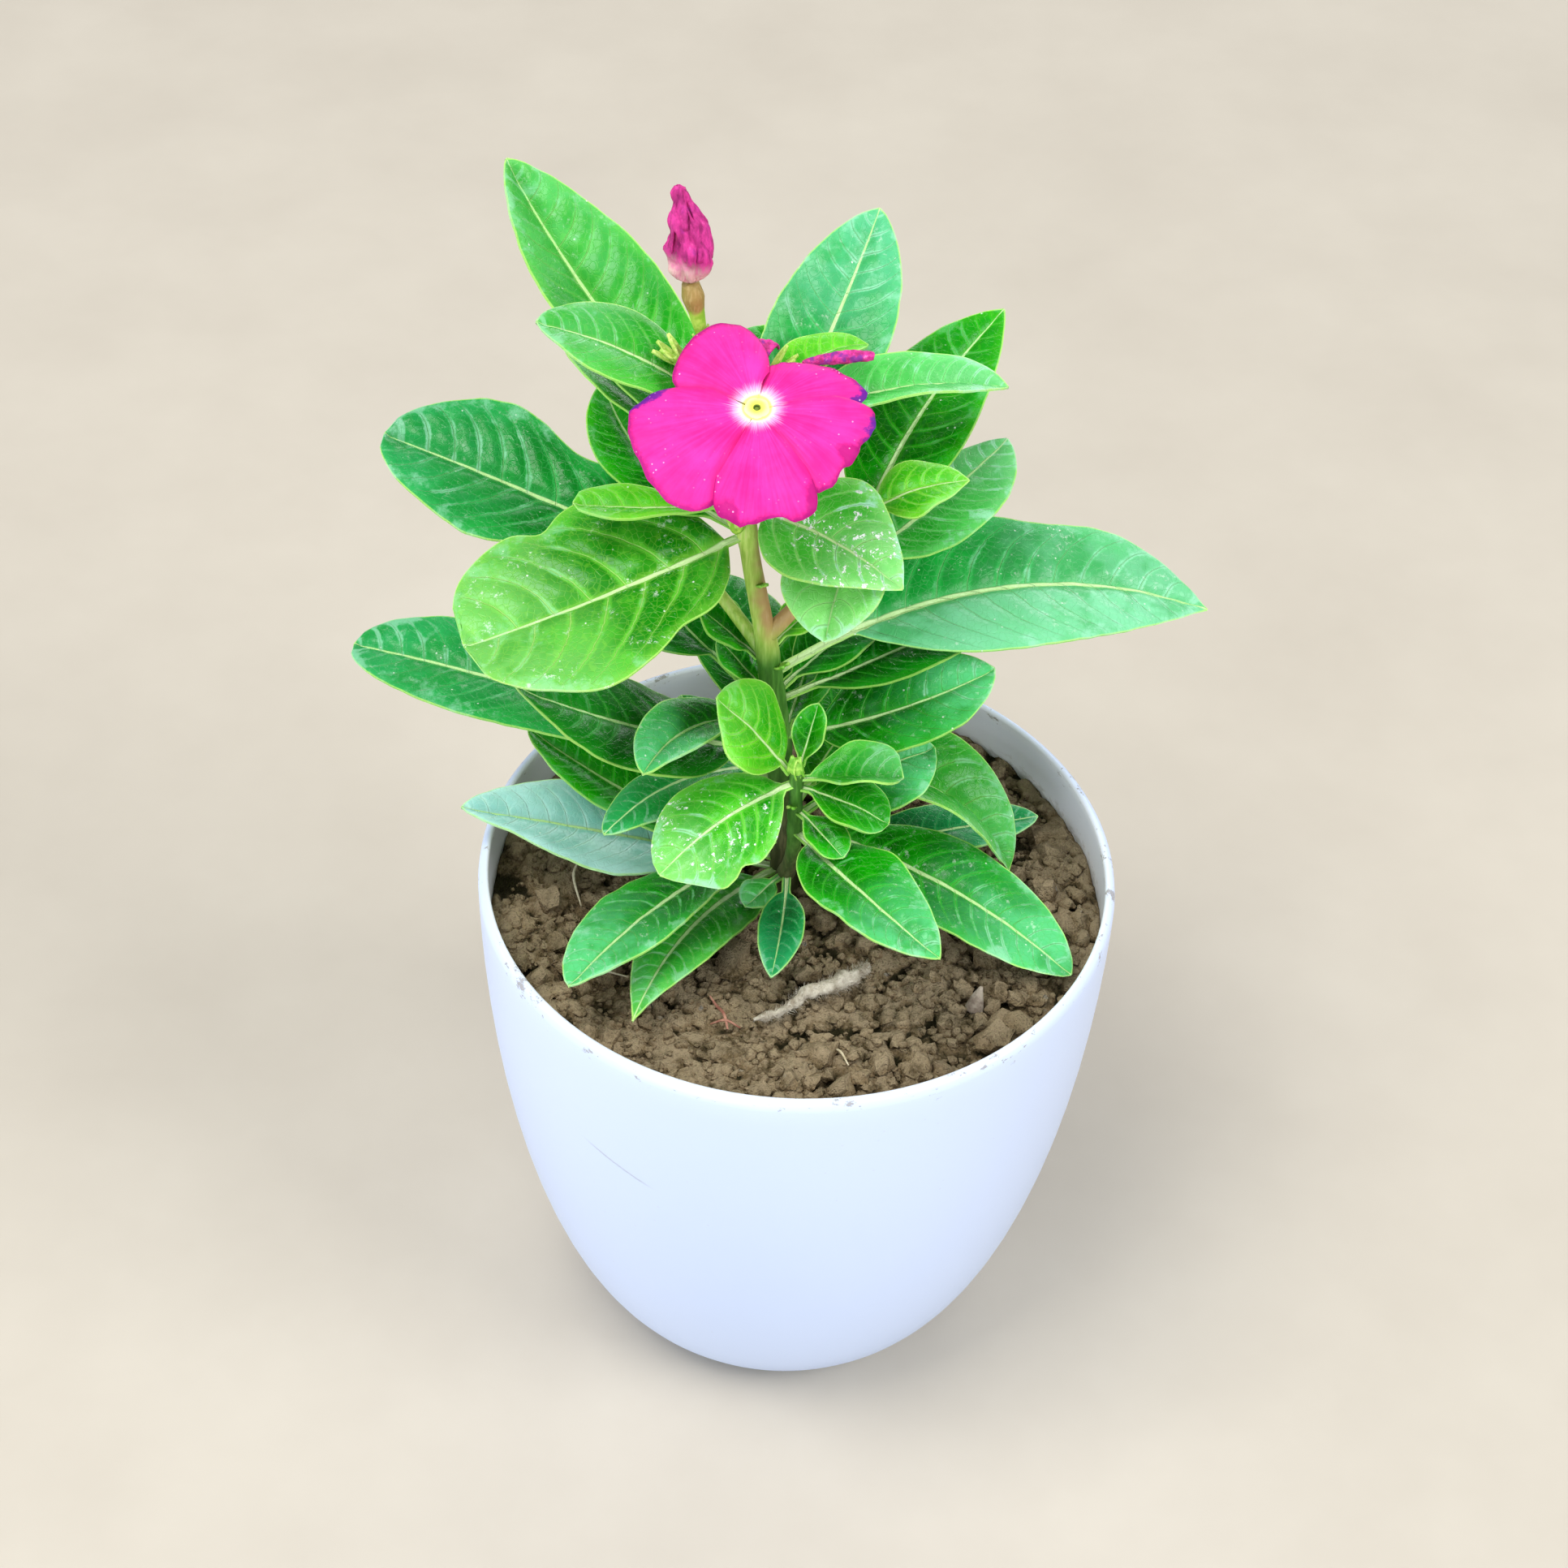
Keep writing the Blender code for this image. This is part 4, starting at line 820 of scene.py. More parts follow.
# The dry twig that lies on it, from its thin end
twig = dict(spots=((-7.5, -36.5), (-2, -33.4), (2.5, -29.6), (8, -26.8), (12, -23.6), (15.4, -20.4)),
            radii=(0.45, 0.8, 1.35, 1.6, 1.75, 0.7), lift=2.6, hairs=520, hairRadius=0.06)


def clodHeight(x, y, levels):
    z = 0.0
    for size, height in levels:
        near = noise.voronoi(Vector((x / size, y / size, size)))[0][0]
        z += height * (math.sqrt(max(0, 1 - (near / 0.75) ** 2)) - 0.55)
    return z


def coarseSoil(x, y):
    return soil["top"] + clodHeight(x, y, soil["clods"]) + 0.6 * noise.noise(Vector((x / 9, y / 9, 4)))


def fineSoil(x, y):
    rough = 0.35 + 0.65 * min(1, max(0, 0.5 + 1.6 * noise.noise(Vector((x / 15, y / 15, 9)))))
    crumbs = 0.55 * noise.noise(Vector((x / 1.3, y / 1.3, 2)))
    return coarseSoil(x, y) + rough * clodHeight(x, y, soil["small"]) + crumbs


def soilFinish(name, tone=1.0):
    made, tree, shader = newMaterial(name)
    at = tree.place()
    broad = tree.cloud(at, 16.0, 4.0, 0.6, 1.0)
    lump = tree.cloud(at, 4.5, 4.0, 0.6, 2.0)
    grit = tree.cloud(at, 0.8, 5.0, 0.75, 3.0)
    grain = tree.cells(at, 0.55)
    deep, body, light = [tuple(tone * c for c in brown) for brown in
                         ((0.050, 0.034, 0.008), (0.29, 0.205, 0.108), (0.40, 0.305, 0.19))]
    colour = (lump * 0.6 + broad * 0.5).fade(0.36, 0.70).blend(deep, body)
    colour = (grit.fade(0.45, 0.68) * 0.55).blend(colour, light)
    colour = (grit.fade(0.47, 0.32) * 0.7).blend(colour, (0.026, 0.018, 0.004))
    stones = tree.cells(at, 5.5).fade(0.13, 0.08) * broad.fade(0.5, 0.6)
    colour = (stones * 0.55).blend(colour, (0.34, 0.36, 0.36))
    depth = tree.map("depth")[0] + (lump - 0.5) * 0.5
    # painted shade: near-black in the hollows between clods; painted light: paler on the clods' tops
    colour = (depth.fade(0.58, 0.28) * 0.92).blend(colour, (0.015, 0.014, 0.001))
    colour = (depth.fade(0.60, 0.92) * 0.65).blend(colour, (0.48, 0.38, 0.24))
    height = grit * 0.8 + grain.fade(0.0, 0.6) * 0.4 + lump * 0.5
    wireUp(tree, shader, colour, 0.93, height, 1.0, 1.1, specular=0.25)
    return made


soilPaint = soilFinish("soil")


def groundPiece(bm, name, finish, depths):
    # one object from the faces built, with each vertex's depth in UV map 'depth'
    bmesh.ops.recalc_face_normals(bm, faces=bm.faces)
    bm.verts.index_update()
    maps = bm.loops.layers.uv
    depth = maps.get("depth") or maps.new("depth")
    for face in bm.faces:
        for loop in face.loops:
            loop[depth].uv = (depths[loop.vert.index], 0)
    mesh = bpy.data.meshes.new(name)
    bm.to_mesh(mesh)
    bm.free()
    made = bpy.data.objects.new(name, mesh)
    bpy.context.collection.objects.link(made)
    mesh.materials.append(finish)
    return made


def makeSoil():
    # the ground itself: a fine cloddy disc that carries on down the pot's wall, closed below
    bm = bmesh.new()
    sides = soil["sides"]
    depths = []  # 0 in the hollows, 1 on the clods

    def ring(radius, height=None):
        row = []
        for k in range(sides):
            a = 2 * math.pi * k / sides
            x, y = radius * math.cos(a), radius * math.sin(a)
            z = fineSoil(x, y) if height is None else height
            depths.append(min(1, max(0, 0.5 + (z - soil["top"] - 0.2) / 6.0 + (z - coarseSoil(x, y)) / 3.0)))
            row.append(bm.verts.new((x * mm, y * mm, z * mm)))
        return row

    def fan(row, z):
        centre = bm.verts.new((0, 0, z * mm))
        depths.append(0.5)
        for k in range(sides):
            bm.faces.new((row[k], row[(k + 1) % sides], centre))

    clear = pot["wall"] + 0.6
    rows = [ring(potRadius(z) - clear, z) for z in (2.9, 14.0, 34.0, 60.0, 92.0)]
    reach = potRadius(soil["top"]) - clear + 0.45
    rows += [ring(reach * (1 - k / soil["rings"])) for k in range(soil["rings"])]
    for low, high in zip(rows, rows[1:]):
        for k in range(sides):
            n = (k + 1) % sides
            bm.faces.new((low[k], low[n], high[n], high[k]))
    fan(rows[0], 2.9)
    fan(rows[-1], fineSoil(0, 0))
    ground = groundPiece(bm, "soil_ground", soilPaint, depths)
    smoothFinish(ground)
    return ground


def makeLumps():
    # loose clods and crumbs lying on the ground, each a knobbly ball with its own shape
    stemFoot = Vector(stems["main"]["points"][0])
    balls = {}
    for fineness in (1, 2):
        bpy.ops.object.select_all(action="DESELECT")
        bpy.ops.mesh.primitive_ico_sphere_add(subdivisions=fineness, radius=1)
        balls[fineness] = bpy.context.object
    bm = bmesh.new()
    bm.loops.layers.uv.new("depth")
    depths = []
    for many, least, most, fineness in soil["lumps"]:
        for k in range(many):
            a, away = dice.uniform(0, 2 * math.pi), soil["reach"] * math.sqrt(dice.uniform(0, 1))
            size = least + (most - least) * dice.random() ** 2
            away = min(away, soil["reach"] + 0.7 - size)
            x, y = away * math.cos(a), away * math.sin(a)
            if math.hypot(x - stemFoot.x, y - stemFoot.y) < size + soil["stemClear"]:
                continue
            toTwig = min(math.hypot(x - tx, y - ty) for tx, ty in twig["spots"])
            if size > 1.4 and toTwig < soil["twigClear"]:
                continue
            stretch = Vector((dice.uniform(0.8, 1.25), dice.uniform(0.8, 1.25), dice.uniform(0.65, 1.0)))
            spin = dice.uniform(0, math.pi)
            z = (fineSoil(x, y) if size < 1.5 else coarseSoil(x, y) + 0.6) + size * dice.uniform(-0.15, 0.45)
            seed = Vector((k * 3.7, many * 1.3, size))
            start = len(bm.verts)
            bm.from_mesh(balls[fineness].data)
            bm.verts.ensure_lookup_table()
            for vert in bm.verts[start:]:
                p = vert.co.normalized()
                knob = 1 + 0.60 * noise.noise(p * 1.3 + seed) + 0.42 * noise.noise(p * 2.9 + seed)
                p = Vector((p.x * stretch.x, p.y * stretch.y, p.z * stretch.z)) * (knob * size)
                # darker below and paler on top, through the painted shade and light of the soil's finish
                depths.append(min(1, max(0, 0.62 + 0.32 * p.z / size)))
                vert.co = Vector((x + p.x * math.cos(spin) - p.y * math.sin(spin),
                                  y + p.x * math.sin(spin) + p.y * math.cos(spin), z + p.z)) * mm
    for ball in balls.values():
        bpy.data.objects.remove(ball)
    lumps = groundPiece(bm, "soil_crumbs", soilFinish("soil_crumb", 1.12), depths)
    smoothFinish(lumps, 32)
    return lumps


settle(makeSoil(), "soil", "soil")
settle(makeLumps(), "soil")

# Bits on the soil: the twig, a dead stalk, two rootlets and four straws
twigPaint = simpleFinish("dry_twig", (0.30, 0.25, 0.18), (0.58, 0.53, 0.43), 3.0, 0.85, 5.0, 0.8, 0.5,
                         extra=(0.72, 0.68, 0.58))
stalkPaint = simpleFinish("dead_stalk", (0.20, 0.15, 0.11), (0.44, 0.38, 0.30), 3.0, 0.9, 6.0, 0.8, 0.4)
rootPaint = simpleFinish("rootlet", (0.26, 0.09, 0.06), (0.50, 0.26, 0.18), 3.0, 0.8, 7.0)
strawPaint = simpleFinish("straw", (0.50, 0.42, 0.26), (0.76, 0.70, 0.52), 3.0, 0.8, 8.0)


def onSoil(x, y, up):
    return (x, y, coarseSoil(x, y) + up)


def makeTwig():
    points = [Vector((x, y, coarseSoil(x, y) + r + twig["lift"]))
              for (x, y), r in zip(twig["spots"], twig["radii"])]
    rod = addRod("twig_wood", points, twig["radii"], twigPaint, steps=12, roundness=6)
    for vert in rod.data.vertices:  # bark: knots and lengthwise ridges
        p = vert.co / mm
        bark = 0.9 * noise.noise(p / 2.2) + 0.3 * noise.noise(p / 0.9)
        bark += 0.18 * noise.noise(Vector((p.x * 0.4, p.y * 0.4, p.z * 3)))
        vert.co += vert.normal * mm * bark
    path = smoothPath(points, 40)
    bm = bmesh.new()
    bm.from_mesh(rod.data)
    for k in range(twig["hairs"]):  # short dry hairs, each three thin sides
        t = dice.uniform(0.06, 0.98)
        place = t * (len(path) - 1)
        a = path[int(place)]
        way = (path[min(int(place) + 1, len(path) - 1)] - path[max(int(place) - 1, 0)]).normalized()
        side = way.orthogonal().normalized()
        turn = dice.uniform(0, 2 * math.pi)
        out = side * math.cos(turn) + way.cross(side) * math.sin(turn)
        r = between(twig["radii"], t)
        foot = a + out * (r * 0.85)
        tip = foot + (out * dice.uniform(0.5, 1.6) + way * dice.uniform(-0.3, 1.2))
        cross = (tip - foot).orthogonal().normalized()
        other = (tip - foot).normalized().cross(cross)
        feet = []
        for n in range(3):
            b = 2 * math.pi * n / 3
            spot = foot + (cross * math.cos(b) + other * math.sin(b)) * twig["hairRadius"]
            feet.append(bm.verts.new(spot * mm))
        top = bm.verts.new(tip * mm)
        bm.faces.new(feet[::-1])
        for n in range(3):
            bm.faces.new((feet[n], feet[(n + 1) % 3], top))
    bm.to_mesh(rod.data)
    bm.free()
    return rod


settle(makeTwig(), "twig", "dry_twig")
# The x, y and height above the soil of each bit's points, its radii, finish and roundness
litter = {
    "dead_stalk": (((36.5, -27.5, 0.5), (36.9, -27, 3.2), (37.6, -26.5, 6.4)),
                   (2.0, 1.4, 0.35), stalkPaint, 3),
    "rootlet_a": (((-12.5, -38, 1.6), (-13.4, -35, 3.0), (-15, -32, 2.6), (-16.4, -30, 3.6)),
                  (0.22, 0.34, 0.3, 0.14), rootPaint, 2),
    "rootlet_b": (((-16, -36, 1.2), (-13, -36.4, 2.6), (-10, -37.5, 1.4)), (0.16, 0.3, 0.14), rootPaint, 2),
    "straw_a": (((8.5, -40.5, 1.8), (10, -43, 2.6), (11.5, -46, 2.0)), (0.16, 0.28, 0.16), strawPaint, 2),
    "straw_b": (((-40, -22, 1.8), (-37, -24, 2.8), (-33, -24.5, 1.6)), (0.18, 0.26, 0.16), strawPaint, 2),
    "straw_c": (((-44, -4, 2.0), (-46, 2, 3.0), (-45, 8, 2.2)), (0.18, 0.3, 0.16), strawPaint, 2),
    "straw_d": (((30, 34, 1.8), (36, 32, 3.0), (42, 28, 2.0)), (0.2, 0.3, 0.16), strawPaint, 2),
}
bits = [addRod(bitName, [onSoil(*spot) for spot in spots], radii, paint, roundness=sides)
        for bitName, (spots, radii, paint, sides) in litter.items()]
settle(joinAll(bits, "soil_litter"), "twig")
print("soil and litter made")


# Open flower: five petals round a yellow eye, leaning to the front. turn and spread bound a petal's angle,
# reach runs along its margin in mm, low and high lift its two side edges over or under the next, violet is
# where along the margin it has dried, and lobes are where the margin is folded, darkened there with painted
# shade
flower = dict(centre=(-11.0, -3.0, 237.0), tilt=18.0, thick=0.35, rows=34, columns=36, throat=1.3, star=4.3)
petalMapSize = 30.0  # mm across the petals' UV map
petals = {
    "top": dict(turn=121, spread=44, reach=(9.5, 15.5, 19.6, 20.7, 20.2, 19.0, 17.6, 15.6),
        low=0.5, high=-0.9, crinkle=0.25, curl=0.5),
    "left": dict(turn=208, spread=49, reach=(13.5, 19.0, 23.0, 23.8, 23.6, 24.2, 25.3, 24.0, 18.0),
        low=1.0, high=-0.9, crinkle=0.35, curl=0.7, violet=-0.68),
    "bottom": dict(turn=277, spread=30, reach=(19.5, 23.6, 24.5, 24.6, 23.2, 23.6, 24.9, 24.0, 18.5),
        low=1.1, high=0.9, crinkle=0.75, curl=1.5, lobes=(-0.62, 0.76)),
    "right_low": dict(turn=333, spread=40, reach=(16.5, 19.8, 20.8, 19.6, 20.4, 20.2, 21.8, 21.4, 17.0),
        low=-1.0, high=0.9, crinkle=0.6, curl=0.9, violet=0.50, lobes=(0.0,)),
    "right_up": dict(turn=46, spread=43, reach=(16.0, 20.6, 19.4, 17.0, 15.0, 13.4, 12.0, 10.8, 9.2),
        low=-1.0, high=-1.0, crinkle=0.5, curl=0.3, violet=-0.80),
}


def onFlower(x, y, up):
    # a place given from the flower's centre, in its own leaning plane
    a = math.radians(flower["tilt"])
    turned = (x, y * math.cos(a) - up * math.sin(a), y * math.sin(a) + up * math.cos(a))
    return Vector(flower["centre"]) + Vector(turned)


def petalFinish():
    # map 'petal' holds (mm from the centre / 30, along the margin) and 'margin' (share of the reach, how
    # dried where above 0, how folded where below)
    made, tree, shader = newMaterial("petal")
    at = tree.place()
    away, across = tree.map("petal")
    share, violet = tree.map("margin")
    away = away * petalMapSize
    rays = tree.node("ShaderNodeCombineXYZ", {}, {0: across * 26.0, 1: away * 0.10, 2: violet})
    ray, feather = [tree.node("ShaderNodeTexNoise", {},
                              {"Vector": rays, "Scale": scale, "Detail": detail, "Roughness": 0.6})
                    for scale, detail in ((1.0, 3.0), (2.2, 2.0))]
    broad = tree.cloud(at, 7.0, 3.0, 0.6, 1.0)
    fine = tree.cloud(at, 0.7, 4.0, 0.65, 2.0)
    colour = (broad * 0.6 + ray * 0.5).fade(0.37, 0.73).blend((0.78, 0.008, 0.23), (0.95, 0.034, 0.38))
    colour = (share.fade(0.35, 0.95) * 0.35).blend(colour, (0.90, 0.018, 0.28))
    side = abs(across.math("FRACT") - 0.5) * 2.0
    colour = (side.fade(0.80, 0.98) * 0.5).blend(colour, (0.62, 0.005, 0.20))
    # a darker, bluer margin, partly painted shade where the edge curls under, violet where it has dried
    dark = (share + (fine - 0.5) * 0.09 + (broad - 0.5) * 0.10).fade(0.925, 0.985)
    colour = (dark * 0.85).blend(colour, (0.36, 0.003, 0.17))
    # painted shade: the folded lobes of the margin are painted darker
    lobe = 0.0 - violet
    foldShade = (share + (broad - 0.5) * 0.30 + lobe * 0.17 + (fine - 0.5) * 0.10).fade(0.95, 1.03)
    colour = (foldShade * lobe.fade(0.05, 0.6) * 0.85).blend(colour, (0.42, 0.002, 0.17))
    dried = share + (broad - 0.5) * 0.35 + (fine - 0.5) * 0.15 + violet * 0.13 + (ray - 0.5) * 0.16
    colour = (dried.fade(0.98, 1.07) * violet.fade(0.05, 0.6) * 0.92).blend(colour, (0.09, 0.008, 0.27))
    specks = tree.cells(at, 1.3).fade(0.16, 0.07) * broad.fade(0.46, 0.60)
    specks = specks * (share.fade(0.55, 0.95) * 0.8 + 0.12)
    colour = (specks * 0.75).blend(colour, (1.0, 0.62, 0.90))
    # a pale star round the eye, feathered outwards
    star = away + (feather - 0.5) * -4.6 + (ray - 0.5) * -2.0
    colour = (star.fade(flower["star"] + 1.2, flower["star"] - 1.5) * 0.9).blend(colour, (0.98, 0.62, 0.88))
    white = (away + (feather - 0.5) * -2.6).fade(flower["star"] - 0.6, flower["star"] - 2.0)
    colour = white.blend(colour, (0.99, 0.93, 0.97))
    yellow = away.fade(3.2, 2.5)
    colour = yellow.blend(colour, (0.95, 0.90, 0.22))
    rough = 0.50 + fine * 0.2
    height = ray * 0.6 + fine * 0.35
    wireUp(tree, shader, colour, rough, height, 0.45, 0.25, specular=0.2)
    return made


petalPaint = petalFinish()
petalBack = simpleFinish("petal_back", (0.66, 0.10, 0.36), (0.88, 0.26, 0.56), 4.0, 0.6, 3.0, 0.3, 0.2)


def addPetal(name, given, n):
    obj = addGrid("petal_" + name, flower["rows"], flower["columns"])
    mesh = obj.data
    values = {}
    for vert in mesh.vertices:
        t, side = (vert.co.x + 1) / 2, vert.co.y
        ends = abs(side)
        a = math.radians(given["turn"] + given["spread"] * side * (0.80 + 0.20 * t))
        reach = between(given["reach"], (side + 1) / 2)
        reach += 0.28 * given["crinkle"] * noise.noise(Vector((side * 7, n * 5, 1))) * 2
        reach *= 1 - 0.10 * max(0, ends - 0.86) / 0.14
        r = flower["throat"] + (reach - flower["throat"]) * t
        up = 1.0 * math.sin(math.pi * t * 0.9) - 1.1 * t * t
        edge = given["low"] * max(0, -side) ** 1.6 + given["high"] * max(0, side) ** 1.6
        up += edge * (0.25 + 0.75 * min(1, 1.6 * t)) * min(1, t * 3)
        up += 0.40 * noise.noise(Vector((math.cos(a) * r / 6, math.sin(a) * r / 6, n * 3))) * t
        crinkle = given["crinkle"] * 1.5 * noise.noise(Vector((side * 6.5, t * 3, n * 9)))
        up += crinkle * max(0, (t - 0.55) / 0.45) ** 2
        over = max(0, (t - 0.88) / 0.12)
        up -= given["curl"] * over ** 2 * (0.5 + noise.noise(Vector((side * 3, n, 4))))
        r -= 0.5 * given["curl"] * over ** 3
        vert.co = onFlower(r * math.cos(a), r * math.sin(a), up) * mm
        edgeShare = max(t, 0.80 * ends ** 6 * t)
        dried = math.exp(-((side - given["violet"]) / 0.24) ** 2) if "violet" in given else 0
        dried -= sum(math.exp(-((side - place) / 0.18) ** 2) for place in given.get("lobes", ()))
        values[vert.index] = (r / petalMapSize, (side + 1) / 2 + n, edgeShare, dried)
    setMaps(mesh, ("petal", "margin"), values)
    mesh.materials.append(petalPaint)
    mesh.materials.append(petalBack)
    if mesh.polygons[0].normal.z < 0:
        mesh.flip_normals()
    addWall(obj, flower["thick"], backSlot=1)
    smoothFinish(obj, 60)
    return obj


def eyeFinish():
    made, tree, shader = newMaterial("flower_eye")
    at = tree.node("ShaderNodeVectorMath", {"operation": "SUBTRACT"}, {0: tree.place(), 1: flower["centre"]})
    away = tree.node("ShaderNodeVectorMath", {"operation": "LENGTH"}, {0: at}, out=1)
    fine = tree.cloud(at, 0.5, 3.0, 0.6)
    colour = (away + (fine - 0.5) * 0.5).fade(1.1, 2.3).blend((0.93, 0.84, 0.10), (0.98, 0.96, 0.42))
    # painted shade: the throat's opening is painted dark
    colour = away.fade(1.05, 0.70).blend(colour, (0.16, 0.24, 0.02))
    wireUp(tree, shader, colour, 0.55 + fine * 0.1, fine, 0.4, 0.12)
    return made


def addEye():
    # a fleshy ring round a small throat, its opening painted dark as shade
    bpy.ops.object.select_all(action="DESELECT")
    bpy.ops.mesh.primitive_torus_add(major_segments=60, minor_segments=18, major_radius=1, minor_radius=0.5)
    ring = bpy.context.object
    for vert in ring.data.vertices:
        p = vert.co.copy()
        a, r = math.atan2(p.y, p.x), math.hypot(p.x, p.y)
        five = 1 + 0.05 * math.cos(5 * (a - math.radians(petals["top"]["turn"])))
        r = (r - 0.5) * 1.05 + 0.45
        r = 0.55 + (r - 0.45) * 1.75
        vert.co = onFlower(r * five * math.cos(a), r * five * math.sin(a), 0.35 + p.z * 0.75 - 0.10 * r) * mm
    bpy.ops.object.select_all(action="DESELECT")
    bpy.ops.mesh.primitive_uv_sphere_add(segments=32, ring_count=16, radius=1)
    cup = bpy.context.object
    for vert in cup.data.vertices:
        p = vert.co
        vert.co = onFlower(p.x * 0.9, p.y * 0.9, -0.35 + p.z * 0.42) * mm
    eye = joinAll([ring, cup], "eye")
    eye.data.materials.append(eyeFinish())
    tidyMesh(eye)
    smoothFinish(eye)
    return eye


petalPieces = [addPetal(name, given, n) for n, (name, given) in enumerate(petals.items())]
petalWhole = joinAll(petalPieces, "open_flower")
settle(petalWhole, "petal", "flower_petals")
settle(addEye(), "petal")

# The flowers' tubes with a calyx of five points, and two cups whose flowers have dropped
# A calyx has its foot, direction, radius, length and width of the points, and how far they flare
tubes = {
    "open": dict(points=[(-13.6, 3, 205), (-14.3, 0.6, 207), (-14.4, -0.4, 213), (-13, -1.6, 224),
                         (-11.2, -2.6, 235.4)],
                 radii=(1.0, 1.25, 1.1, 1.25, 1.15, 1.7),
                 calyx=((-14.3, 0.6, 207.0), (0.0, -0.15, 1), 1.0, 4.6, 1.0, 0.28)),
    "spent": dict(points=[(-14.6, 9.8, 230), (-18.5, 15, 232.5), (-21.4, 17, 237), (-23, 16.8, 244.4),
                          (-24, 17, 249.6)],
                  radii=(0.9, 1.0, 1.05, 1.1, 1.15, 1.5, 2.15, 1.6),
                  calyx=((-21.0, 16.9, 235.8), (-0.2, 0.0, 1), 0.9, 3.6, 0.9, 0.3)),
}
cups = (
    dict(stalk=[(-17.6, 13.8, 232), (-21, 13, 233)], foot=(-25, 11.6, 235.3),
         tip=(-28.6, 11.8, 239.3), wide=1.9),
    dict(stalk=[(-15.2, 10.3, 230.6), (-12, 12, 231.5)], foot=(-9.2, 13, 232.2),
         tip=(-5.2, 14.2, 236.2), wide=1.5),
)


def tubeFinish():
    # yellow-green, browning towards the spent flower's throat
    made, tree, shader = newMaterial("flower_tube")
    at = tree.place()
    x, y, z = at.split()
    cloud = tree.cloud(at, 2.6, 4.0, 0.6, 1.0)
    fine = tree.streaks(at, 0.5, 0.2, 3.0, 0.6, 2.0)
    colour = cloud.fade(0.35, 0.65).blend((0.26, 0.52, 0.03), (0.56, 0.74, 0.12))
    brown = (z + (cloud - 0.5) * 4.0).fade(243.4, 245.0) * y.fade(8.0, 12.0)
    colour = (brown * 0.9).blend(colour, (0.30, 0.17, 0.05))
    colour = (brown * fine.fade(0.45, 0.65) * 0.5).blend(colour, (0.50, 0.36, 0.14))
    wireUp(tree, shader, colour, 0.5 + fine * 0.15, fine + brown * cloud, 0.5, 0.25)
    return made


tubePaint = tubeFinish()


def addSepals(name, foot, way, out, long, wide, flare):
    # five narrow points round a tube, leaning outwards
    foot, way = Vector(foot), Vector(way).normalized()
    side = way.orthogonal().normalized()
    made = []
    for k in range(5):
        a = 2 * math.pi * k / 5 + 0.3
        away = side * math.cos(a) + way.cross(side) * math.sin(a)
        tip = foot + away * (out + flare * long) + way * long
        made.append(addScale(f"{name}_{k}", foot + away * out, tip, wide, cupPaint, columns=4, thick=0.25))
    return made


def addTube(name):
    given = tubes[name]
    rod = addRod("tube_" + name, given["points"], given["radii"], tubePaint, steps=8, roundness=6)
    return [rod, *addSepals(name + "_calyx", *given["calyx"])]


settle(joinAll(addTube("open"), "open_flower_tube"), "cup", "flower_tube")

spentTube = addTube("spent")
for k, given in enumerate(cups):
    foot, tip = Vector(given["foot"]), Vector(given["tip"])
    way = tip - foot
    path = [*given["stalk"], foot, foot.lerp(tip, 0.45)]
    spentTube.append(addRod(f"cup_stalk_{k}", path, (0.65, 0.75, 1.0, 1.15), cupPaint, roundness=5))
    long = way.length * 0.95
    spentTube += addSepals(f"cup_{k}", foot.lerp(tip, 0.15), way, 0.7, long, given["wide"], 0.30)
settle(joinAll(spentTube, "spent_flower_tube"), "cup", "spent_flower_stalks")
print("open flower and tubes made")

# Spent flower: the petals shrivelled and rolled together on their tube. belly is the roll's girth from foot
# to top; a flap is the loose edge of one petal, given by its angle, where it starts and ends, and how far
# it stands out
spent = dict(foot=(-24.1, 17.0, 249.6), top=(-25.6, 18.0, 269.6), radius=3.3, rows=64, sides=72, thick=0.3,
             belly=(0.46, 0.66, 0.94, 1.08, 1.08, 0.96, 0.86, 0.84, 0.72, 0.52, 0.44, 0.40),
             flaps=((-70, 0.30, 0.86, 3.0), (20, 0.42, 0.95, 2.5), (160, 0.36, 0.80, 3.0),
                    (-140, 0.62, 1.02, 2.0)))


def spentFinish():
    made, tree, shader = newMaterial("petal_spent")
    at = tree.place()
    x, y, z = at.split()
    crease = tree.streaks(at, 1.0, 0.28, 4.0, 0.65, 1.0)
    broad = tree.cloud(at, 3.0, 4.0, 0.6, 2.0)
    colour = (crease * 0.7 + broad * 0.4).fade(0.36, 0.70).blend((0.24, 0.004, 0.10), (0.70, 0.040, 0.30))
    colour = (crease.fade(0.60, 0.74) * 0.6).blend(colour, (0.86, 0.30, 0.52))
    colour = (broad.fade(0.55, 0.72) * 0.5).blend(colour, (0.22, 0.012, 0.24))
    pale = (z + (crease - 0.5) * 5.0 + (x + 25.0) * 0.25).fade(256.5, 251.5)
    pale = pale * y.fade(10.0, 14.0) * x.fade(-15.0, -18.0)
    colour = (pale * 0.85).blend(colour, (0.70, 0.52, 0.44))
    colour = (pale * crease.fade(0.50, 0.62) * 0.6).blend(colour, (0.55, 0.16, 0.28))
    wireUp(tree, shader, colour, 0.62 + crease * 0.15, crease + broad * 0.4, 0.8, 0.4, specular=0.35)
    return made


spentPaint = spentFinish()


def onRoll(t, a, r, up=0.0):
    # the place at share t of the roll's length, at angle a and radius r from its bent middle
    foot, top = Vector(spent["foot"]), Vector(spent["top"])
    bend = Vector((0.9 * math.sin(3.4 * t) - 0.6 * t, 0, 0))
    return (foot + (top - foot) * t + bend + Vector((r * math.cos(a), 0.85 * r * math.sin(a), up))) * mm


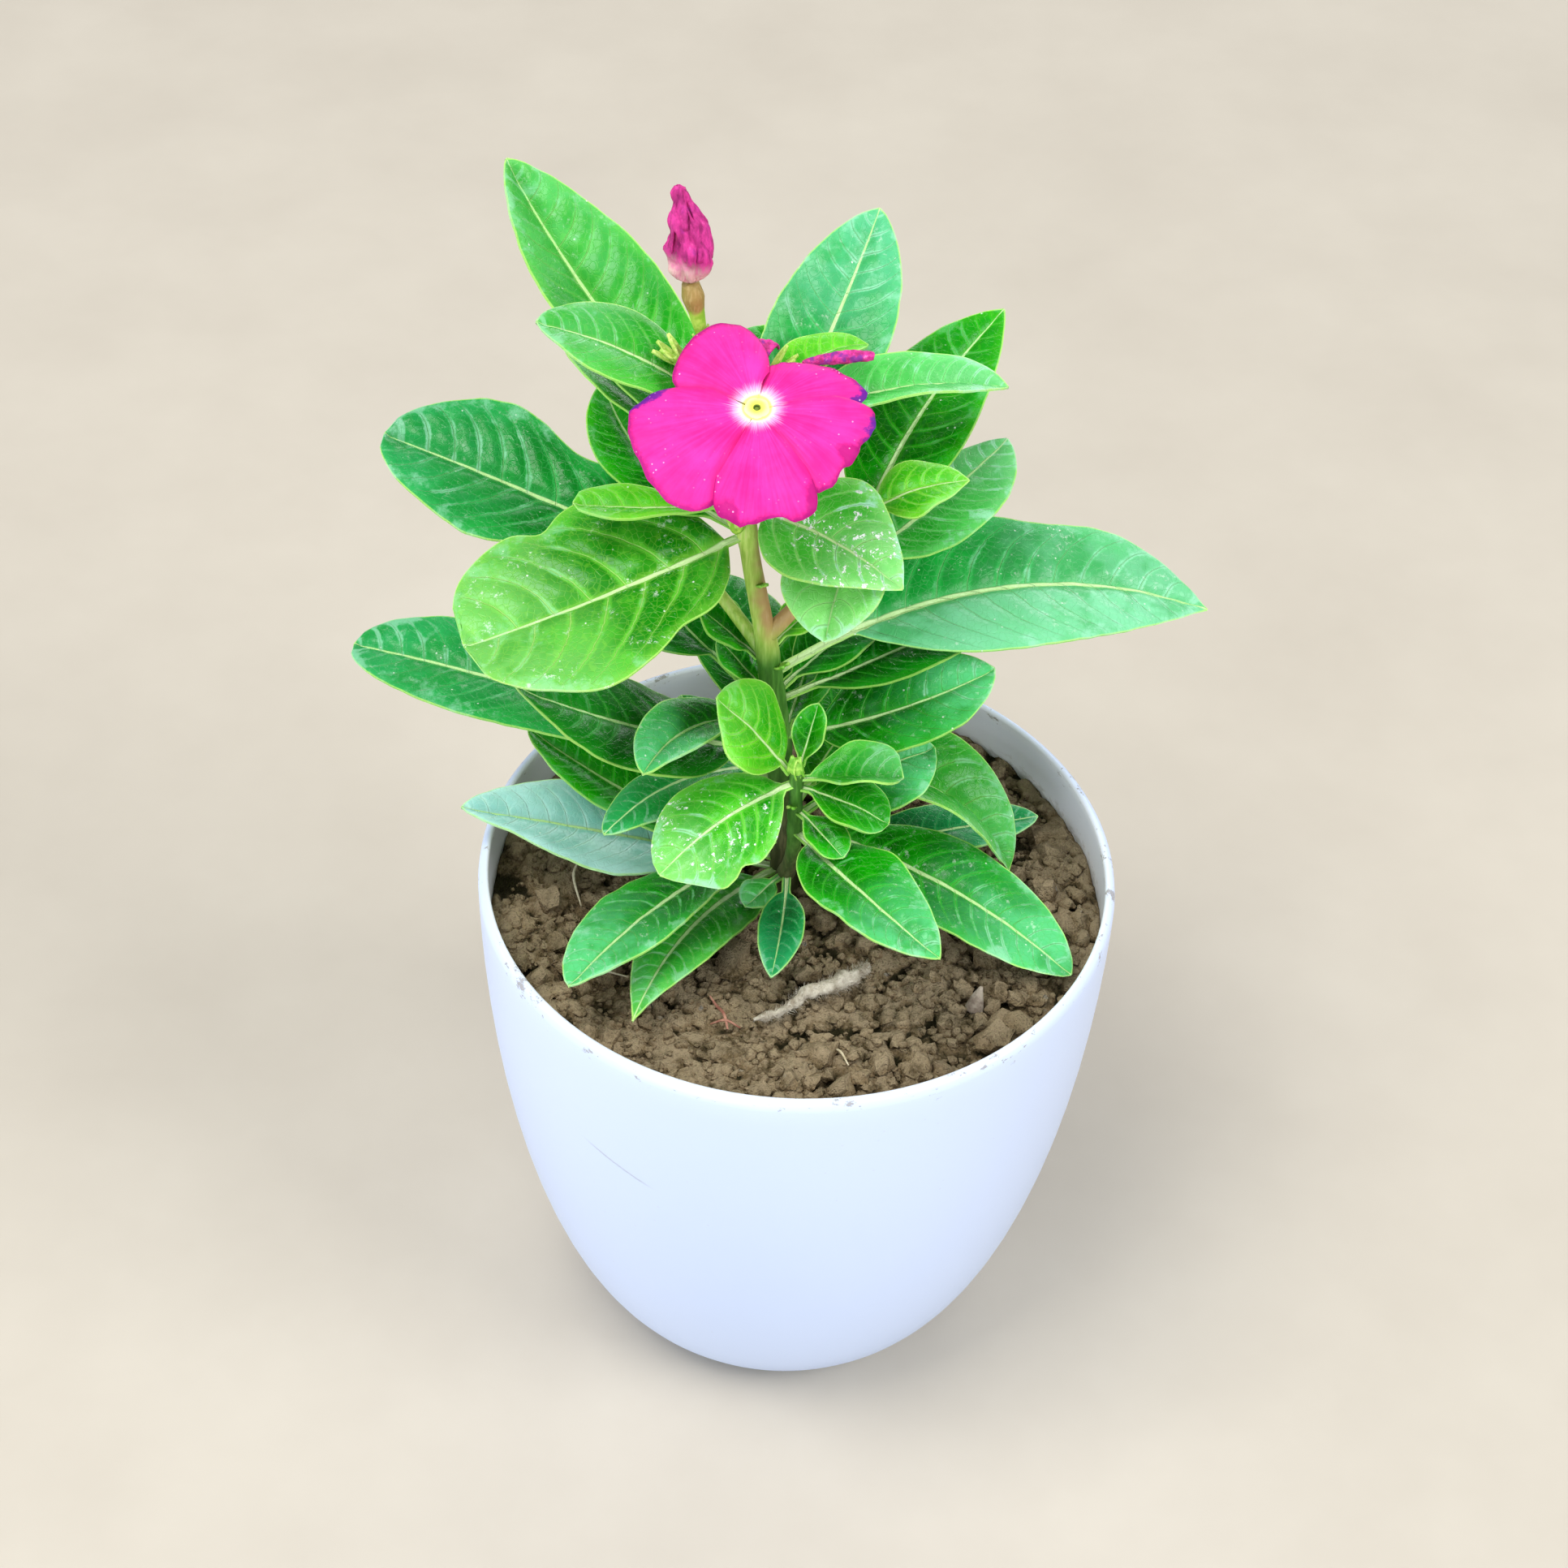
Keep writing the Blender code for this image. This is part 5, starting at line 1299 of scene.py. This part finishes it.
def addFlap(name, k, turn, low, high, out):
    flap = addGrid(name, 16, 6)
    for vert in flap.data.vertices:
        t, side = (vert.co.x + 1) / 2, (vert.co.y + 1) / 2
        place = low + (high - low) * t
        a = math.radians(turn + 55 * side + 25 * t)
        r = spent["radius"] * between(spent["belly"], place) * (0.98 + 0.02 * side)
        r += out * 0.30 * side * math.sin(math.pi * min(1, 0.15 + 0.85 * t))
        r += 0.3 * noise.noise(Vector((side * 3, t * 5, k)))
        vert.co = onRoll(place, a, r, 0.6 * side * math.sin(6 * t))
    flap.data.materials.append(spentPaint)
    addWall(flap, spent["thick"])
    tidyMesh(flap)
    smoothFinish(flap)
    return flap


def addSpentLimb():
    bpy.ops.object.select_all(action="DESELECT")
    bpy.ops.mesh.primitive_uv_sphere_add(segments=spent["sides"], ring_count=spent["rows"], radius=1)
    limb = bpy.context.object
    limb.name = limb.data.name = "spent_limb"
    for vert in limb.data.vertices:
        t = (vert.co.z + 1) / 2
        a = math.atan2(vert.co.y, vert.co.x)
        ring = math.hypot(vert.co.x, vert.co.y)
        twist = a + 1.5 * t
        pleat = 1 + 0.16 * math.cos(5 * twist) + 0.10 * math.cos(3 * twist + 4 * t)
        pleat -= 0.30 * max(0, math.cos(twist - 1.9)) ** 12
        knot = noise.noise(Vector((1.6 * math.cos(twist), 1.6 * math.sin(twist), t * 4)))
        crumple = noise.noise(Vector((3.4 * math.cos(a), 3.4 * math.sin(a), t * 11)))
        pleat += 0.50 * abs(knot) - 0.10 + 0.14 * crumple
        r = spent["radius"] * min(1, ring * 1.9) * between(spent["belly"], t) * pleat
        vert.co = onRoll(t, a, r, 0.9 * noise.noise(Vector((a, t * 3, 2))) * math.sin(math.pi * t))
    limb.data.materials.append(spentPaint)
    tidyMesh(limb)
    smoothFinish(limb)
    flaps = [addFlap(f"flap_{k}", k, *given) for k, given in enumerate(spent["flaps"])]
    return joinAll([limb, *flaps], "spent_flower")


settle(addSpentLimb(), "petal_spent", "spent_flower_petals")

# Two withered petals on the crown: one rolled like a cigar, one curled
withered = dict(rolled=((-3.2, 12.6, 236.0), (1, 13.6, 236.4), (5.5, 14.8, 236.3), (9.6, 16, 235.8)),
                rolledRadii=(0.5, 0.9, 1.25, 1.2, 0.85), curled=(-10.4, 17.8, 235.8), curledSize=2.4,
                thick=0.4)


def witheredFinish():
    made, tree, shader = newMaterial("petal_withered")
    at = tree.place()
    crease = tree.cloud(at, 1.1, 4.0, 0.65, 5.0)
    broad = tree.cloud(at, 2.6, 3.0, 0.6, 6.0)
    colour = crease.fade(0.36, 0.66).blend((0.40, 0.004, 0.15), (0.82, 0.030, 0.36))
    colour = (broad.fade(0.50, 0.64) * 0.8).blend(colour, (0.14, 0.012, 0.30))
    colour = (crease.fade(0.64, 0.72) * 0.6).blend(colour, (0.95, 0.35, 0.66))
    wireUp(tree, shader, colour, 0.55 + crease * 0.15, crease, 0.7, 0.3)
    return made


witheredPaint = witheredFinish()


def addRolled():
    rod = addRod("rolled", withered["rolled"], withered["rolledRadii"], witheredPaint, steps=12, roundness=8)
    for vert in rod.data.vertices:  # lengthwise creases of the roll
        p = vert.co / mm
        crease = 0.30 * noise.noise(Vector((p.x * 0.35, p.y * 1.6, p.z * 1.6))) + 0.10 * noise.noise(p * 1.5)
        vert.co += vert.normal * mm * crease
    return rod


def addCurled():
    (x, y, z), big = withered["curled"], withered["curledSize"]
    obj = addGrid("curled", 30, 24)
    for vert in obj.data.vertices:
        u, v = vert.co.x, vert.co.y
        bend = math.radians(75) * u
        crinkle = 0.35 * noise.noise(Vector((u * 3, v * 3, 2)))
        far = 1 - 0.18 * u * u * v * v
        vert.co = Vector((x + big * far * (0.9 * v + 0.5 * math.sin(bend)),
                          y + big * far * (0.75 * math.sin(bend) - 0.3 * v),
                          z + big * (0.95 * math.cos(bend) - 0.6 - 0.25 * v * v) + crinkle)) * mm
    obj.data.materials.append(witheredPaint)
    addWall(obj, withered["thick"])
    tidyMesh(obj)
    smoothFinish(obj)
    return obj


settle(addRolled(), "petal_spent", "rolled_petal")
settle(addCurled(), "petal_spent", "curled_petal")
print("spent flower and withered petals made")


# Camera, floor and light: the photograph's view, from above the front, with the focal length and the
# frame's width in pixels of the photograph
view = dict(location=(-3.4, -468.6, 588.3), turn=(46.3755, -1.7161, 1.6349), focal=4000.0, frameWidth=1932.0)
cameraData = bpy.data.cameras.new("camera")
cameraData.sensor_width = 36.0
cameraData.lens = view["focal"] / view["frameWidth"] * cameraData.sensor_width
cameraData.clip_start = 0.01
camera = bpy.data.objects.new("camera", cameraData)
bpy.context.collection.objects.link(camera)
camera.location = [c * mm for c in view["location"]]
camera.rotation_euler = [math.radians(a) for a in view["turn"]]
bpy.context.scene.camera = camera

bpy.ops.object.select_all(action="DESELECT")
bpy.ops.mesh.primitive_plane_add(size=6, location=(0, 0, 0))
floor = bpy.context.object
floor.name = "floor"
floorPaint, tree, shader = newMaterial("floor_pale")
spots = tree.cloud(tree.place(), 60.0, 4.0, 0.6)
wireUp(tree, shader, spots.blend((0.49, 0.44, 0.365), (0.59, 0.54, 0.455)), 0.85)
floor.data.materials.append(floorPaint)

lights = {
    "key": dict(at=(-0.5, -0.35, 1.65), aim=(0, 0, 0.15), size=0.8, power=19, colour=(1.0, 0.99, 0.96)),
    "back": dict(at=(0.4, 1.6, 0.75), aim=(0, 0, 0.15), size=1.0, power=9, colour=(0.95, 0.98, 1.0)),
    "fill": dict(at=(1.25, -0.6, 1.15), aim=(0, 0, 0.12), size=0.9, power=19, colour=(0.97, 0.98, 1.0)),
    "side": dict(at=(-1.5, 0.15, 0.62), aim=(0, 0, 0.11), size=0.9, power=6, colour=(0.95, 0.94, 1.0)),
    "low": dict(at=(-0.75, -1.55, 0.5), aim=(0, 0, 0.06), size=1.2, power=17, colour=(0.82, 0.90, 1.0)),
}
for lightName, given in lights.items():
    lamp = bpy.data.lights.new(lightName, "AREA")
    lamp.size = given["size"]
    lamp.energy = given["power"]
    lamp.color = given["colour"]
    holder = bpy.data.objects.new(lightName, lamp)
    bpy.context.collection.objects.link(holder)
    holder.location = given["at"]
    aim = Vector(given["aim"]) - Vector(given["at"])
    holder.rotation_euler = aim.to_track_quat("-Z", "Y").to_euler()
sky = bpy.data.worlds.new("soft_sky")
sky.use_nodes = True
sky.node_tree.nodes["Background"].inputs["Color"].default_value = (0.93, 0.96, 1.0, 1)
sky.node_tree.nodes["Background"].inputs["Strength"].default_value = 0.40
bpy.context.scene.world = sky
bpy.context.scene.view_settings.view_transform = "Standard"
print("camera, floor and light set")

bpy.context.view_layer.update()
